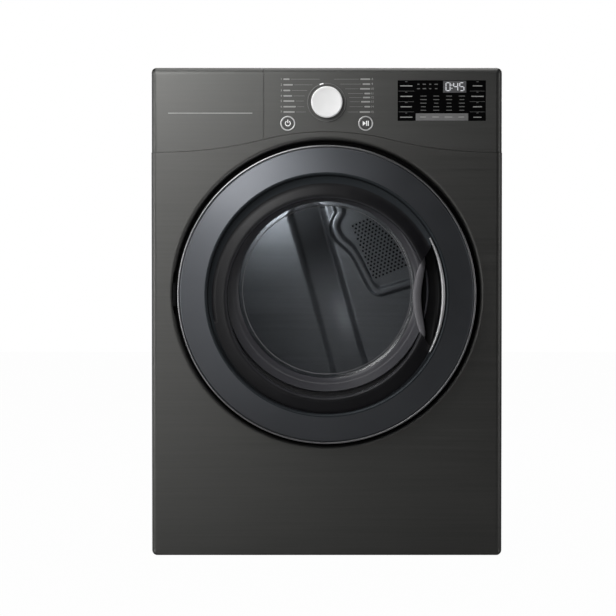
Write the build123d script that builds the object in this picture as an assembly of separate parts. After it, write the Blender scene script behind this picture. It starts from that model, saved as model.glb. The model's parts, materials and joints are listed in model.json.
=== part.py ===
from build123d import *
import math
import os

# Clothes dryer with a round door on its left hinge, in millimetres.
# X runs to the right, Y from the front to the back and Z up.
# The origin lies on the floor under the middle of the machine.

# Drum, and the rooms that the cabinet leaves around it
drum_radius = 318.0
drum_length = 512.0
drum_wall = 1.5
drum_side_room = 25.0  # drum to the outside of a side panel
machine_room = 193.0  # bottom of the cabinet to the lowest point of the drum
front_room = 82.0  # front face to the front edge of the drum
rear_room = 94.0  # rear edge of the drum to the rear face

# Cabinet
foot_height = 6.0
sheet = 1.5
edge_radius = 12.0  # bend of the front panel round its upright edges
return_depth = 26.0  # how far front panel and console wrap round the sides
rear_flange = 14.0
panel_joint = 0.8  # visible joint between two panels
cap_flange = 12.0  # turned-down edge of the top panel
pan_flange = 20.0  # turned-up edge of the base pan
seat_gap = 0.3  # pieces that sit in each other without a press

# Console above the curved seam
console_height = 125.0  # crown of the seam to the top
console_step = 0.7  # the console is this much narrower on each side
console_wall = 2.5
console_corner = 10.0
console_edge = 7.0
seam_margin = 16.0  # door recess to the crown of the seam
seam_rise = 40.0
seam_shoulder = 20.0
seam_crown_radius = 510.0

# Dial, buttons and display
dial_drop = 68.0  # below the top of the machine
knob_radius = 30.6
knob_height = 16.0
knob_lift = 1.2  # underside of the knob above the console
bezel_radius = 38.4
bezel_height = 3.0
knob_shaft_radius = 3.0
knob_play = 0.6  # knob to its bezel, and its shaft to the console
shaft_tip_room = 2.0  # board to the end of the knob's shaft
button_drop = 109.0
button_spread = 76.0
button_radius = 11.4
button_proud = 2.5
button_cap_depth = 7.0
button_travel = 1.5
button_play = 0.4
ring_radius = 14.6
ring_height = 2.0
stem_radius = 3.0
display_width = 172.0
display_height = 79.0
display_drop = 25.0
display_margin = 32.0  # display to the right end of the console
display_flange = 4.0
board_depth = 26.0  # front face of the console to the board
board_thickness = 1.6
board_margin = 10.0
boss_radius = 4.0
switch_size = 9.0
encoder_size = 16.0
encoder_depth = 8.0

# Steam feeder drawer, in the left part of the console
drawer_seam = 219.0  # left end of the console to the upright seam
drawer_front_depth = 14.0
drawer_bay = 20.0  # drawer body stands in from the ends of its front
drawer_depth = 196.0
drawer_top_drop = 18.0
drawer_height = 100.0
drawer_play = 2.0
tray_wall = 2.0
tank_room = 4.0
tank_height = 84.0
tank_wall = 2.0
filler_radius = 16.0
housing_wall = 2.0
runner_width = 10.0

# Door recess and door
door_inset = 16.0  # the recess is this much smaller than the drum
recess_depth = 16.5
recess_lip = 2.0
door_gap = 11.0
door_proud = 40.0
trim_width = 4.5
trim_front = 24.0  # front edge of the trim ahead of the cabinet front
trim_depth = 20.0
ring_width = 56.0
ring_shoulder = 18.0  # outer edge of the ring ahead of the cabinet front
ring_bulge = 4.0
ring_wall = 3.0
ring_nose = 7.0  # rounded inner edge of the ring
frame_front = 8.0  # front of the door's inner frame, ahead of the recess floor
frame_wall = 3.0
bowl_wall = 2.5
bowl_front = 32.0  # front edge of the bowl wall ahead of the cabinet front
bowl_back = 8.0
bowl_narrowing = 22.0
glass_rise = 9.0  # the glass stands this much above the middle of the door
glass_wall = 4.0
glass_flange = 6.0
glass_taper = 36.0
glass_depth = 34.0
glass_corner = 9.0
glass_lean = 2.4  # tapering wall, measured along the radius
seal_width = 10.0
seal_margin = 11.0  # door opening to the seal around it
recess_flange = 68.0  # width of the recess floor round the door opening
throat_wall = 2.0
pocket_floor = 1.0  # pocket floor ahead of the cabinet front
pocket_wall = 2.0
pocket_height = 172.0
pocket_bulge = 23.0
pocket_reach = 60.0
pocket_drop = 7.0
handle_span = 58.0  # degrees
handle_middle = 6.6
handle_end = 3.2
handle_depth = 8.0
door_screw_count = 8
door_screw_inset = 16.0

# Hinge and latch
hinge_ahead = 14.0  # hinge line ahead of the cabinet front
hinge_gap = 5.0  # hinge line to the edge of the door
knuckle_radius = 4.0
pin_radius = 2.0
moving_knuckle = 18.0
fixed_knuckle = 12.7
leaf_thickness = 3.0
leaf_web = 5.0
leaf_height = 60.0
leaf_reach = 28.0
bracket_thickness = 1.2
bracket_reach = 36.0
strike_width = 6.0
strike_height = 16.0
strike_depth = 21.0
latch_inset = 23.5  # strike to the edge of the door ring
latch_slot = 16.0
latch_slot_height = 28.0
latch_wall = 4.0
latch_depth = 26.0

# Bulkheads, seals and rollers
bulkhead_room = 22.5  # front edge of the drum to the front bulkhead
bulkhead_rear_room = 8.0
bulkhead_side_gap = 0.5
rim_overlap = 16.0  # bulkhead rim inside the drum
felt_height = 8.7
felt_width = 12.0
rim_margin = 7.5
rear_seal_inset = 2.0
roller_radius = 30.0
roller_width = 24.0
roller_inset = 13.0  # roller to the end of the drum
roller_angle = 35.0
shaft_radius = 6.0
collar_radius = 10.0
collar_width = 1.7
running_gap = 0.05
contact_gap = 0.3
baffle_height = 72.0
baffle_base = 68.0
baffle_crest = 28.0
baffle_wall = 3.0
baffle_inset = 34.0
channel_lean = 13.75
channel_length = 520.0
channel_top = 78.0
channel_bottom = 52.0
channel_depth = 6.0
ridge_width = 12.0
ridge_height = 3.5
# Path of the ridge stamped round the air inlet, from the middle of the rear wall
ridge_path = [(14, 170), (10, 130), (39, 87), (61, 50), (90, 3), (109, -15), (145, -1), (179, 10)]
grille_x = 117.0
grille_rise = 92.0
grille_width = 88.0
grille_height = 140.0
grille_turn = 20.0
grille_border = 8.0
grille_pitch = 8.0
grille_hole = 4.6
lamp_radius = 16.0
lamp_depth = 12.0
lamp_angle = 125.0
sensor_width = 110.0
sensor_height = 22.0
sensor_depth = 7.0
sensor_strip = 5.0

# Air path under and behind the drum
filter_width = 200.0
filter_thickness = 16.0
filter_depth = 165.0
filter_back = 10.0  # filter to the front bulkhead
filter_lip = 8.0
filter_frame = 8.0
filter_rib = 4.0
duct_wall = 2.0
duct_room = 12.0  # filter to the duct's sides
duct_floor = 38.0
exhaust_radius = 50.8
exhaust_wall = 1.2
exhaust_step = 1.3  # the duct inside is slimmer than its collar
exhaust_height = 89.0  # middle of the exhaust above the cabinet bottom
exhaust_proud = 40.0
motor_offset = 150.0
motor_height = 98.0
motor_radius = 60.0
motor_length = 130.0
motor_back = 60.0  # rear of the motor ahead of the middle of the machine
bell_radius = 48.0
bell_length = 14.0
cradle_width = 92.0
cradle_length = 90.0
motor_shaft_radius = 6.0
pulley_radius = 11.0
pulley_flange = 3.0
pulley_width = 16.0
flange_width = 2.0
belt_width = 8.0
belt_thickness = 2.5
belt_back = 30.0  # middle of the belt ahead of the middle of the machine
idler_radius = 14.0
idler_width = 12.0
idler_place = 76.0  # along the belt from the motor pulley
idler_axle = 4.0
arm_width = 24.0
arm_thickness = 3.0
wheel_radius = 78.0
wheel_inner = 55.0
wheel_depth = 50.0
wheel_disc = 2.0
hub_radius = 14.0
blade_count = 24
blade_thickness = 1.6
scroll_radius = 88.0
scroll_end = 57.0
scroll_depth = 80.0
inlet_radius = 50.0
heater_height = 200.0
heater_depth = 70.0
heater_intake = 60.0

# Rear fittings, feet and screws
vent_columns = 3
vent_rows = 9
vent_width = 70.0
vent_slot = 4.0
vent_pitch = 14.0
vent_spread = 110.0
vent_height = 640.0
terminal_x = -215.0
terminal_z = 690.0
terminal_width = 90.0
terminal_height = 96.0
terminal_depth = 16.0
gland_bore = 14.3
gland_radius = 21.0
gland_depth = 12.0
gland_drop = 84.0
foot_radius = 20.0
foot_inset = 62.0
foot_neck = 8.0
stud_radius = 5.0
stud_length = 30.0
screw_head = 4.5
screw_head_height = 2.2
screw_shank = 2.0
screw_length = 10.0
screw_inset = 8.0
hole_play = 0.1  # screw, stud or window to the edge of its hole

# Places that follow from the sizes above
cabinet_half = drum_radius + drum_side_room
cabinet_depth = front_room + drum_length + rear_room
front_y = door_proud - (door_proud + cabinet_depth + exhaust_proud) / 2
rear_y = front_y + cabinet_depth
rear_sheet_y = rear_y - sheet
drum_front = front_y + front_room
drum_rear = drum_front + drum_length
axis_z = foot_height + machine_room + drum_radius
recess_radius = drum_radius - door_inset
recess_floor = front_y + recess_depth
seam_crown = axis_z + recess_radius + seam_margin
cabinet_top = seam_crown + console_height
pan_top = foot_height + sheet
console_half = cabinet_half - console_step
return_y = front_y + return_depth
inner_half = cabinet_half - sheet
drum_inner = drum_radius - drum_wall
bulkhead_back = drum_front - bulkhead_room
bulkhead_front = bulkhead_back - sheet
rear_bulkhead = drum_rear + bulkhead_rear_room
rim_radius = drum_inner - contact_gap - felt_height
bulkhead_half = inner_half - bulkhead_side_gap
bulkhead_top = axis_z + rim_radius + rim_margin
bulkhead_bottom = foot_height + machine_room

seam_reach = cabinet_half - seam_shoulder
seam_angle = 2 * math.atan2(seam_rise, seam_reach)
seam_wing_radius = seam_reach / math.sin(seam_angle) - seam_crown_radius

dial_z = cabinet_top - dial_drop
button_z = cabinet_top - button_drop
display_right = console_half - display_margin
display_left = display_right - display_width
display_top = cabinet_top - display_drop
display_bottom = display_top - display_height
console_back = front_y + console_wall
board_front = front_y + board_depth
drawer_end = drawer_seam - console_half
drawer_back = front_y + drawer_front_depth
bay_front = drawer_back + panel_joint
bay_back = bay_front + console_wall
tray_left = -console_half + drawer_bay
tray_right = drawer_end - panel_joint - console_wall - drawer_play - housing_wall - drawer_play
tray_top = cabinet_top - drawer_top_drop
tray_bottom = tray_top - drawer_height
tray_rear = drawer_back + drawer_depth

opening_radius = recess_radius - recess_flange
inner_ring_middle = (opening_radius + rim_radius - sheet) / 2
trim_outer = recess_radius - door_gap
ring_outer = trim_outer - trim_width
ring_inner = ring_outer - ring_width
latch_radius = ring_outer - latch_inset
seal_inner = opening_radius + seal_margin
door_front = front_y - door_proud
frame_y = recess_floor - frame_front
frame_back = frame_y + frame_wall
bowl_mouth = ring_inner - seat_gap
bowl_front_y = front_y - bowl_front
bowl_back_y = front_y - bowl_back
glass_radius = bowl_mouth - bowl_narrowing
glass_z = axis_z + glass_rise
glass_back = bowl_back_y + glass_depth
pocket_y = front_y - pocket_floor
pocket_z = axis_z - pocket_drop
hinge_x = -(trim_outer + hinge_gap)
hinge_y = front_y - hinge_ahead
throat_inner = opening_radius - throat_wall

motor_z = foot_height + motor_height
exhaust_z = foot_height + exhaust_height
exhaust_bore = exhaust_radius - exhaust_step - exhaust_wall
motor_rear = -motor_back
motor_front = motor_rear - motor_length
belt_y = -belt_back
scroll_back = bulkhead_front + scroll_depth
belt_gap = contact_gap
filter_rear = bulkhead_front - filter_back
filter_front = filter_rear - filter_thickness
filter_half = filter_width / 2
filter_bottom = axis_z - opening_radius - filter_depth


def box(x0, x1, y0, y1, z0, z1):
    """Block between two corners."""
    middle = Pos((x0 + x1) / 2, (y0 + y1) / 2, (z0 + z1) / 2)
    return middle * Box(x1 - x0, y1 - y0, z1 - z0)


def slab(face, front, back):
    """Solid of a face drawn in X and Z, between two depths."""
    placed = Plane.XZ.offset(-back) * face
    return extrude(placed, amount=back - front, dir=(0, -1, 0))


def rod(x, z, radius, front, back):
    """Round bar along Y."""
    return slab(Pos(x, z) * Circle(radius), front, back)


def pipe(x, z, outer, inner, front, back):
    """Round tube along Y."""
    return slab(Pos(x, z) * (Circle(outer) - Circle(inner)), front, back)


def turned(profile, height):
    """Ring of revolution about a line along Y, from a face drawn in radius and depth."""
    return Pos(0, 0, height) * revolve(profile, axis=Axis.Y)


def outline(*points):
    """Face inside a closed line of straight runs."""
    return make_face(Polyline(*points, close=True))


def around(shape, angle, height):
    """A shape turned about the line along Y at X 0 and the given height."""
    return Pos(0, 0, height) * Rot(0, -angle, 0) * Pos(0, 0, -height) * shape


def group(solids):
    """Separate solids that share one node."""
    return Compound(children=[solid.solid() for solid in solids])


def seam_line(half, shift):
    """The curved seam from left to right: two wing arcs and the crown arc between them."""
    crown = seam_crown + shift
    foot = crown - seam_rise
    join = (seam_crown_radius * math.sin(seam_angle),
            crown - seam_crown_radius * (1 - math.cos(seam_angle)))
    wing = (seam_reach - seam_wing_radius * math.sin(seam_angle / 2),
            foot + seam_wing_radius * (1 - math.cos(seam_angle / 2)))
    return [
        Line((-half, foot), (-seam_reach, foot)),
        ThreePointArc((-seam_reach, foot), (-wing[0], wing[1]), (-join[0], join[1])),
        ThreePointArc((-join[0], join[1]), (0, crown), join),
        ThreePointArc(join, wing, (seam_reach, foot)),
        Line((seam_reach, foot), (half, foot)),
    ]


def front_face():
    """Outline of the front panel, under the seam."""
    half = cabinet_half
    foot = seam_crown - panel_joint / 2 - seam_rise
    sides = [
        Line((half, foot), (half, foot_height)),
        Line((half, foot_height), (-half, foot_height)),
        Line((-half, foot_height), (-half, foot)),
    ]
    return make_face(seam_line(half, -panel_joint / 2) + sides)


def console_face(inset):
    """Outline of the console, above the seam, drawn in by a wall."""
    half = console_half
    top = cabinet_top
    corner = console_corner
    slant = corner * (1 - math.sqrt(0.5))
    foot = seam_crown + panel_joint / 2 - seam_rise
    sides = [
        Line((half, foot), (half, top - corner)),
        ThreePointArc((half, top - corner), (half - slant, top - slant), (half - corner, top)),
        Line((half - corner, top), (corner - half, top)),
        ThreePointArc((corner - half, top), (slant - half, top - slant), (-half, top - corner)),
        Line((-half, top - corner), (-half, foot)),
    ]
    face = make_face(seam_line(half, panel_joint / 2) + sides)
    if inset:
        face = offset(face, amount=-inset, kind=Kind.INTERSECTION)
    return face


def console_block():
    """The console before it is hollowed, with its rounded front edges."""
    block = slab(console_face(0), front_y, return_y)
    reach = console_corner / 2

    def rounded(edge):
        middle = edge @ 0.5
        at_front = abs(middle.Y - front_y) < 0.01
        return at_front and (abs(middle.X) > console_half - reach or middle.Z > cabinet_top - reach)

    return fillet(block.edges().filter_by(rounded), console_edge)


def console_hollow():
    """Room inside the console, behind its front wall."""
    return slab(console_face(console_wall), console_back, return_y + 1)


def front_panel():
    block = slab(front_face(), front_y, return_y)
    upright = block.edges().filter_by(Axis.Z).filter_by(lambda edge: abs(edge.center().Y - front_y) < 0.01)
    block = fillet(upright, edge_radius)
    room = box(-inner_half, inner_half, front_y + sheet, return_y + 1, 0, cabinet_top)
    front_edges = room.edges().filter_by(Axis.Z).sort_by(Axis.Y)[:2]
    block -= fillet(front_edges, edge_radius - sheet)
    block += rod(0, axis_z, recess_radius + sheet, front_y, recess_floor + sheet)
    block -= rod(0, axis_z, recess_radius, front_y - 1, recess_floor)
    block -= rod(0, axis_z, opening_radius, recess_floor - 1, recess_floor + sheet + 1)
    slot_half = latch_slot_height / 2
    block -= box(latch_radius - latch_slot / 2, latch_radius + latch_slot / 2,
                 recess_floor - 1, recess_floor + sheet + 1, axis_z - slot_half, axis_z + slot_half)

    def lip(edge):
        middle = edge @ 0.5
        reach = math.hypot(middle.X, middle.Z - axis_z)
        return abs(middle.Y - front_y) < 0.01 and reach < recess_radius + 1

    return fillet(block.edges().filter_by(lip), recess_lip)


def side_panel(side):
    """Flat side sheet with a flange turned in at the rear."""
    front = return_y + panel_joint
    top = cabinet_top - sheet
    panel = box(inner_half, cabinet_half, front, rear_sheet_y, foot_height, top)
    panel += box(cabinet_half - rear_flange, cabinet_half, rear_sheet_y - sheet, rear_sheet_y,
                 foot_height, top)
    for x, z in rear_screw_places():
        if x > 0:
            panel -= rod(x, z, screw_shank + hole_play, rear_sheet_y - sheet - 1, rear_y)
    return panel if side > 0 else mirror(panel, about=Plane.YZ)


def rear_screw_places():
    """Screws down both edges of the rear panel."""
    heights = [pan_top + pan_flange * 2 + step * (cabinet_top - pan_flange * 4) / 4 for step in range(5)]
    return [(side * (cabinet_half - screw_inset), z) for side in (-1, 1) for z in heights]


def top_panel():
    front = return_y + panel_joint
    flange_half = inner_half - seat_gap
    panel = box(-cabinet_half, cabinet_half, front, rear_y, cabinet_top - sheet, cabinet_top)
    flange = box(-flange_half, flange_half, front, rear_sheet_y - sheet - seat_gap,
                 cabinet_top - cap_flange, cabinet_top - sheet)
    flange -= box(sheet - flange_half, flange_half - sheet, front + sheet,
                  rear_sheet_y - 2 * sheet - seat_gap, 0, cabinet_top)
    flange -= drawer_room(seat_gap)
    return panel + flange


def rear_panel():
    half = cabinet_half - sheet
    panel = box(-half, half, rear_sheet_y, rear_y, foot_height, cabinet_top - sheet)
    panel -= rod(0, exhaust_z, exhaust_radius - exhaust_step + seat_gap, rear_sheet_y - 1, rear_y + 1)
    panel -= rod(terminal_x, gland_z(), (gland_bore + gland_radius) / 2, rear_sheet_y - 1, rear_y + 1)
    for column in range(vent_columns):
        x = (column - (vent_columns - 1) / 2) * vent_spread
        for row in range(vent_rows):
            z = vent_height + row * vent_pitch
            slot = Pos(x, z) * SlotOverall(vent_width, vent_slot)
            panel -= slab(slot, rear_sheet_y - 1, rear_y + 1)
    for x, z in rear_screw_places():
        panel -= rod(x, z, screw_shank + hole_play, rear_sheet_y - 1, rear_y + 1)
    return panel


def screw(x, z, seat):
    """Screw along Y with its head on a rear-facing seat."""
    head = rod(x, z, screw_head, seat, seat + screw_head_height)
    return head + rod(x, z, screw_shank, seat - screw_length, seat)


def cabinet_screws():
    return group([screw(x, z, rear_y) for x, z in rear_screw_places()])


def foot_places():
    """Feet under the four corners of the base pan."""
    x = cabinet_half - foot_inset
    front = return_y + foot_inset
    rear = rear_y - foot_inset
    return [(-x, front), (x, front), (-x, rear), (x, rear)]


def base_pan():
    half = inner_half - seat_gap
    front = return_y
    back = rear_sheet_y - sheet - seat_gap
    pan = box(-half, half, front, back, foot_height, pan_top + pan_flange)
    pan -= box(sheet - half, half - sheet, front + sheet, back - sheet, pan_top, cabinet_top)
    for x, y in foot_places():
        pan -= Pos(x, y, pan_top) * Cylinder(stud_radius + hole_play, 4 * sheet)
    return pan


def leveling_feet():
    feet = []
    for x, y in foot_places():
        pad = Pos(x, y, foot_height / 2) * Cylinder(foot_radius, foot_height)
        stud = Pos(x, y, foot_height + stud_length / 2) * Cylinder(stud_radius, stud_length)
        nut = Pos(x, y, pan_top + foot_neck / 2) * extrude(
            RegularPolygon(foot_neck, 6), amount=foot_neck / 2, both=True)
        feet.append(pad + stud + nut)
    return group(feet)


def control_panel():
    block = console_block()
    shell = block - console_hollow()
    wall_left = drawer_end + panel_joint
    wall_right = wall_left + console_wall
    tall = (0, cabinet_top + 1)
    shell += block & box(wall_left, wall_right, front_y, return_y, *tall)
    shell -= box(-cabinet_half, wall_left, front_y - 1, bay_front, *tall)
    bay = block & box(-cabinet_half, wall_right, bay_front, bay_back, *tall)
    shell += bay - drawer_room(0)
    shell -= rod(0, dial_z, knob_shaft_radius + knob_play, front_y - 1, console_back + 1)
    button_hole = button_radius + button_play
    for side in (-1, 1):
        shell -= rod(side * button_spread, button_z, button_hole, front_y - 1, console_back + 1)
    shell -= box(display_left - hole_play, display_right + hole_play, front_y - 1, console_back + 1,
                 display_bottom - hole_play, display_top + hole_play)
    for x, z in board_bosses():
        shell += rod(x, z, boss_radius, console_back, board_front)
    return shell


def board_edges():
    """Left, right, bottom and top of the control board."""
    return (-button_spread - 3 * board_margin, display_right - board_margin,
            button_z - board_margin, display_top + board_margin / 2)


def board_bosses():
    """Bosses of the console that carry the board."""
    left, right, bottom, top = board_edges()
    columns = (left + board_margin / 2, display_left - 2 * board_margin)
    rows = (bottom + boss_radius, top - boss_radius)
    return [(x, z) for x in columns for z in rows]


def control_board():
    left, right, bottom, top = board_edges()
    back = board_front + board_thickness
    board = box(left, right, board_front, back, bottom, top)
    half = encoder_size / 2
    board += box(-half, half, board_front - encoder_depth, board_front, dial_z - half, dial_z + half)
    bore = knob_shaft_radius + running_gap
    board -= rod(0, dial_z, bore, board_front - encoder_depth - 1, board_front - 1)
    half = switch_size / 2
    for side in (-1, 1):
        x = side * button_spread
        board += box(x - half, x + half, switch_front(), board_front, button_z - half, button_z + half)
    board += box(display_left + board_margin, right - board_margin, console_back + 2 * sheet + sheet,
                 board_front, display_bottom + board_margin, display_top - board_margin)
    return board


def switch_front():
    """Front of a push switch, just past the pressed button's stem."""
    return board_front - switch_size / 2


def display_window():
    window = box(display_left, display_right, front_y, console_back, display_bottom, display_top)
    edge = display_flange
    window += box(display_left - edge, display_right + edge, console_back, console_back + sheet,
                  display_bottom - edge, display_top + edge)
    return window


def knob_bezel():
    ring = pipe(0, dial_z, bezel_radius, knob_radius + knob_play, front_y - bezel_height, front_y)
    crown = ring.edges().group_by(Axis.Y)[0]
    return fillet(crown, bezel_height / 3)


def control_knob():
    front = front_y - knob_height - knob_lift
    knob = rod(0, dial_z, knob_radius, front, front_y - knob_lift)
    knob = fillet(knob.edges().group_by(Axis.Y)[0], knob_height / 6)
    tip = board_front - shaft_tip_room
    return knob + rod(0, dial_z, knob_shaft_radius, front_y - knob_lift, tip)


def push_button(side):
    x = side * button_spread
    front = front_y - button_proud
    cap = rod(x, button_z, button_radius, front, front + button_cap_depth)
    cap = fillet(cap.edges().group_by(Axis.Y)[0], button_proud / 3)
    tip = switch_front() - button_travel - contact_gap
    return cap + rod(x, button_z, stem_radius, front + button_cap_depth, tip)


def button_rings():
    inner = button_radius + button_play
    return group([
        pipe(side * button_spread, button_z, ring_radius, inner, front_y - ring_height, front_y)
        for side in (-1, 1)
    ])


def drawer_room(wall):
    """Room that the drawer body slides in, grown by the wall of its housing."""
    grow = drawer_play + wall
    return box(tray_left - grow, tray_right + grow, front_y, tray_rear + grow,
               tray_bottom - grow, tray_top + grow)


def drawer_front():
    block = console_block() & box(-cabinet_half, drawer_end, front_y - 1, drawer_back, 0, cabinet_top + 1)
    inner_end = drawer_end - console_wall
    inner_back = drawer_back - console_wall
    room = box(-cabinet_half, inner_end, front_y, inner_back, 0, cabinet_top + 1)
    return block - (console_hollow() & room)


def drawer_tray():
    wall = tray_wall
    tray = box(tray_left, tray_right, drawer_back, tray_rear, tray_bottom, tray_top)
    return tray - box(tray_left + wall, tray_right - wall, drawer_back + wall, tray_rear - wall,
                      tray_bottom + wall, cabinet_top)


def steam_tank():
    gap = tray_wall + tank_room
    left = tray_left + gap
    right = tray_right - gap
    front = drawer_back + gap
    rear = tray_rear - gap
    bottom = tray_bottom + tray_wall
    top = bottom + tank_height
    wall = tank_wall
    tank = box(left, right, front, rear, bottom, top)
    tank -= box(left + wall, right - wall, front + wall, rear - wall, bottom + wall, top - wall)
    filler_y = front + 2 * filler_radius
    filler = Pos((left + right) / 2, filler_y, top)
    return tank - filler * Cylinder(filler_radius, 4 * wall)


def drawer_housing():
    outer = drawer_play + housing_wall
    sleeve = box(tray_left - outer, tray_right + outer, bay_back, tray_rear + outer,
                 tray_bottom - outer, tray_top + outer)
    sleeve -= drawer_room(0)
    floor = tray_bottom - drawer_play
    for x in (tray_left + 2 * runner_width, tray_right - 3 * runner_width):
        sleeve += box(x, x + runner_width, bay_back, tray_rear, floor, tray_bottom - contact_gap)
    return sleeve


def front_bulkhead():
    plate = box(-bulkhead_half, bulkhead_half, bulkhead_front, bulkhead_back, bulkhead_bottom, bulkhead_top)
    plate -= rod(0, axis_z, throat_inner, bulkhead_front - 1, bulkhead_back + 1)
    throat = pipe(0, axis_z, opening_radius, throat_inner, recess_floor + sheet + seat_gap, bulkhead_back)
    rim = pipe(0, axis_z, rim_radius, rim_radius - sheet, bulkhead_back, drum_front + rim_overlap)
    slot_half = filter_half + seat_gap
    slot = box(-slot_half, slot_half, filter_front - seat_gap, filter_rear + seat_gap,
               axis_z - opening_radius - 1, axis_z)
    return plate + throat + rim - slot


def channel_face(grow):
    """Slanting channel stamped into the rear wall."""
    top = channel_top / 2 + grow
    bottom = channel_bottom / 2 + grow
    half = channel_length / 2 + grow
    face = outline((-top, half), (top, half), (bottom, -half), (-bottom, -half))
    return Pos(0, axis_z) * Rot(0, 0, channel_lean) * face


def ridge_face():
    """Ridge beside the channel, in straight runs with round joints."""
    runs = []
    for (x0, z0), (x1, z1) in zip(ridge_path, ridge_path[1:]):
        run = SlotCenterToCenter(math.hypot(x1 - x0, z1 - z0), ridge_width)
        turn = math.degrees(math.atan2(z1 - z0, x1 - x0))
        runs.append(Pos((x0 + x1) / 2, axis_z + (z0 + z1) / 2) * Rot(0, 0, turn) * run)
    return runs[0].fuse(*runs[1:])


def grille_place():
    return Pos(grille_x, axis_z + grille_rise) * Rot(0, 0, grille_turn)


def rear_bulkhead_wall():
    back = rear_bulkhead + sheet
    plate = box(-bulkhead_half, bulkhead_half, rear_bulkhead, back, bulkhead_bottom, bulkhead_top)
    rim_front = drum_rear - rim_overlap
    plate += pipe(0, axis_z, rim_radius, rim_radius - sheet, rim_front, rear_bulkhead)
    floor = rear_bulkhead + channel_depth
    plate += slab(channel_face(sheet), rear_bulkhead, floor + sheet)
    plate -= slab(channel_face(0), rear_bulkhead - 1, floor)
    plate += slab(ridge_face(), rear_bulkhead - ridge_height, rear_bulkhead)
    mouth = Rectangle(grille_width - 2 * grille_border, grille_height - 2 * grille_border)
    return plate - slab(grille_place() * mouth, rear_bulkhead - 1, back + 1)


def air_inlet_grille():
    plate = RectangleRounded(grille_width, grille_height, grille_border)
    columns = int((grille_width - 2 * grille_border) / grille_pitch)
    rows = int((grille_height - 2 * grille_border) / grille_pitch)
    plate -= GridLocations(grille_pitch, grille_pitch, columns, rows) * Circle(grille_hole / 2)
    return slab(grille_place() * plate, rear_bulkhead - sheet, rear_bulkhead)


def drum_felt_seals():
    outer = rim_radius + felt_height
    inner = rim_radius + running_gap
    front = drum_front + rear_seal_inset
    rear = drum_rear - rear_seal_inset
    return group([
        pipe(0, axis_z, outer, inner, front, front + felt_width),
        pipe(0, axis_z, outer, inner, rear - felt_width, rear),
    ])


def drum_shell():
    return pipe(0, axis_z, drum_radius, drum_inner, drum_front, drum_rear)


def drum_baffles():
    def wedge(inset, foot):
        base = baffle_base / 2 - inset
        crest = baffle_crest / 2 - inset
        top = baffle_height - drum_radius - inset
        floor = -drum_radius - foot
        return outline((-base, floor), (base, floor), (crest, top), (-crest, top))

    front = drum_front + baffle_inset
    rear = drum_rear - baffle_inset
    lifter = slab(wedge(0, 0), front, rear)
    crest_edges = lifter.edges().filter_by(Axis.Y).group_by(Axis.Z)[-1]
    lifter = fillet(crest_edges, baffle_crest / 4)
    lifter -= slab(wedge(baffle_wall, 1), front + baffle_wall, rear - baffle_wall)
    lifter = Pos(0, 0, axis_z) * lifter
    lifter &= rod(0, axis_z, drum_inner - running_gap, front, rear)
    return group([around(lifter, 120 * turn + 60, axis_z) for turn in range(3)])


def roller_place(side):
    """Middle of a roller under the drum."""
    reach = drum_radius + contact_gap + roller_radius
    angle = math.radians(roller_angle)
    return side * reach * math.sin(angle), axis_z - reach * math.cos(angle)


def roller_span(row):
    """Front and rear face of a roller in the front or the rear row."""
    if row == "front":
        front = drum_front + roller_inset
    else:
        front = drum_rear - roller_inset - roller_width
    return front, front + roller_width


def drum_roller(row, side):
    x, z = roller_place(side)
    front, back = roller_span(row)
    roller = pipe(x, z, roller_radius, shaft_radius + running_gap, front, back)
    web = pipe(x, z, roller_radius - roller_width / 3, shaft_radius * 2, front, front + roller_width / 4)
    return roller - web


def roller_shafts():
    shafts = []
    for row in ("front", "rear"):
        front, back = roller_span(row)
        near = front - contact_gap
        far = back + contact_gap
        start = bulkhead_back if row == "front" else near - 2 * collar_width
        end = far + 2 * collar_width if row == "front" else rear_bulkhead
        for side in (-1, 1):
            x, z = roller_place(side)
            shaft = rod(x, z, shaft_radius, start, end)
            shaft += rod(x, z, collar_radius, near - collar_width, near)
            shaft += rod(x, z, collar_radius, far, far + collar_width)
            shafts.append(shaft)
    return group(shafts)


def drum_lamp():
    angle = math.radians(lamp_angle)
    x = inner_ring_middle * math.cos(angle)
    z = axis_z + inner_ring_middle * math.sin(angle)
    lamp = rod(x, z, lamp_radius, bulkhead_back, bulkhead_back + lamp_depth)
    return fillet(lamp.edges().group_by(Axis.Y)[-1], lamp_depth / 3)


def moisture_sensor():
    half = sensor_width / 2
    low = axis_z - inner_ring_middle - sensor_height / 2
    back = bulkhead_back + sensor_depth
    sensor = box(-half, half, bulkhead_back, back, low, low + sensor_height)
    for z in (low + sensor_strip / 2, low + sensor_height - 1.5 * sensor_strip):
        sensor += box(sensor_strip - half, half - sensor_strip, back, back + sheet, z, z + sensor_strip)
    return sensor


def lint_filter():
    top = axis_z - throat_inner + filter_half / 2
    block = box(-filter_half, filter_half, filter_front, filter_rear, filter_bottom, top)
    pockets = 4
    clear = (filter_width - 2 * filter_frame - (pockets - 1) * filter_rib) / pockets
    low = filter_bottom + filter_frame
    high = axis_z - opening_radius - filter_frame
    for step in range(pockets):
        left = filter_frame - filter_half + step * (clear + filter_rib)
        block -= box(left, left + clear, filter_front - 1, filter_rear - sheet, low, high)
    lip_half = filter_half + filter_lip
    lip = box(-lip_half, lip_half, filter_front - filter_lip / 2, filter_rear + filter_lip / 2,
              axis_z - throat_inner, axis_z)
    lip &= pipe(0, axis_z, throat_inner - contact_gap, throat_inner - contact_gap - duct_wall,
                filter_front - filter_lip, filter_rear + filter_lip)
    block -= rod(0, axis_z, throat_inner - contact_gap - duct_wall / 2, filter_front - 1, filter_rear + 1)
    low_lip = axis_z - throat_inner
    grip = box(-filter_half / 3, filter_half / 3, filter_front + filter_rib, filter_rear - filter_rib,
               low_lip, low_lip + 2 * filter_lip)
    return block + lip + grip


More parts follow.
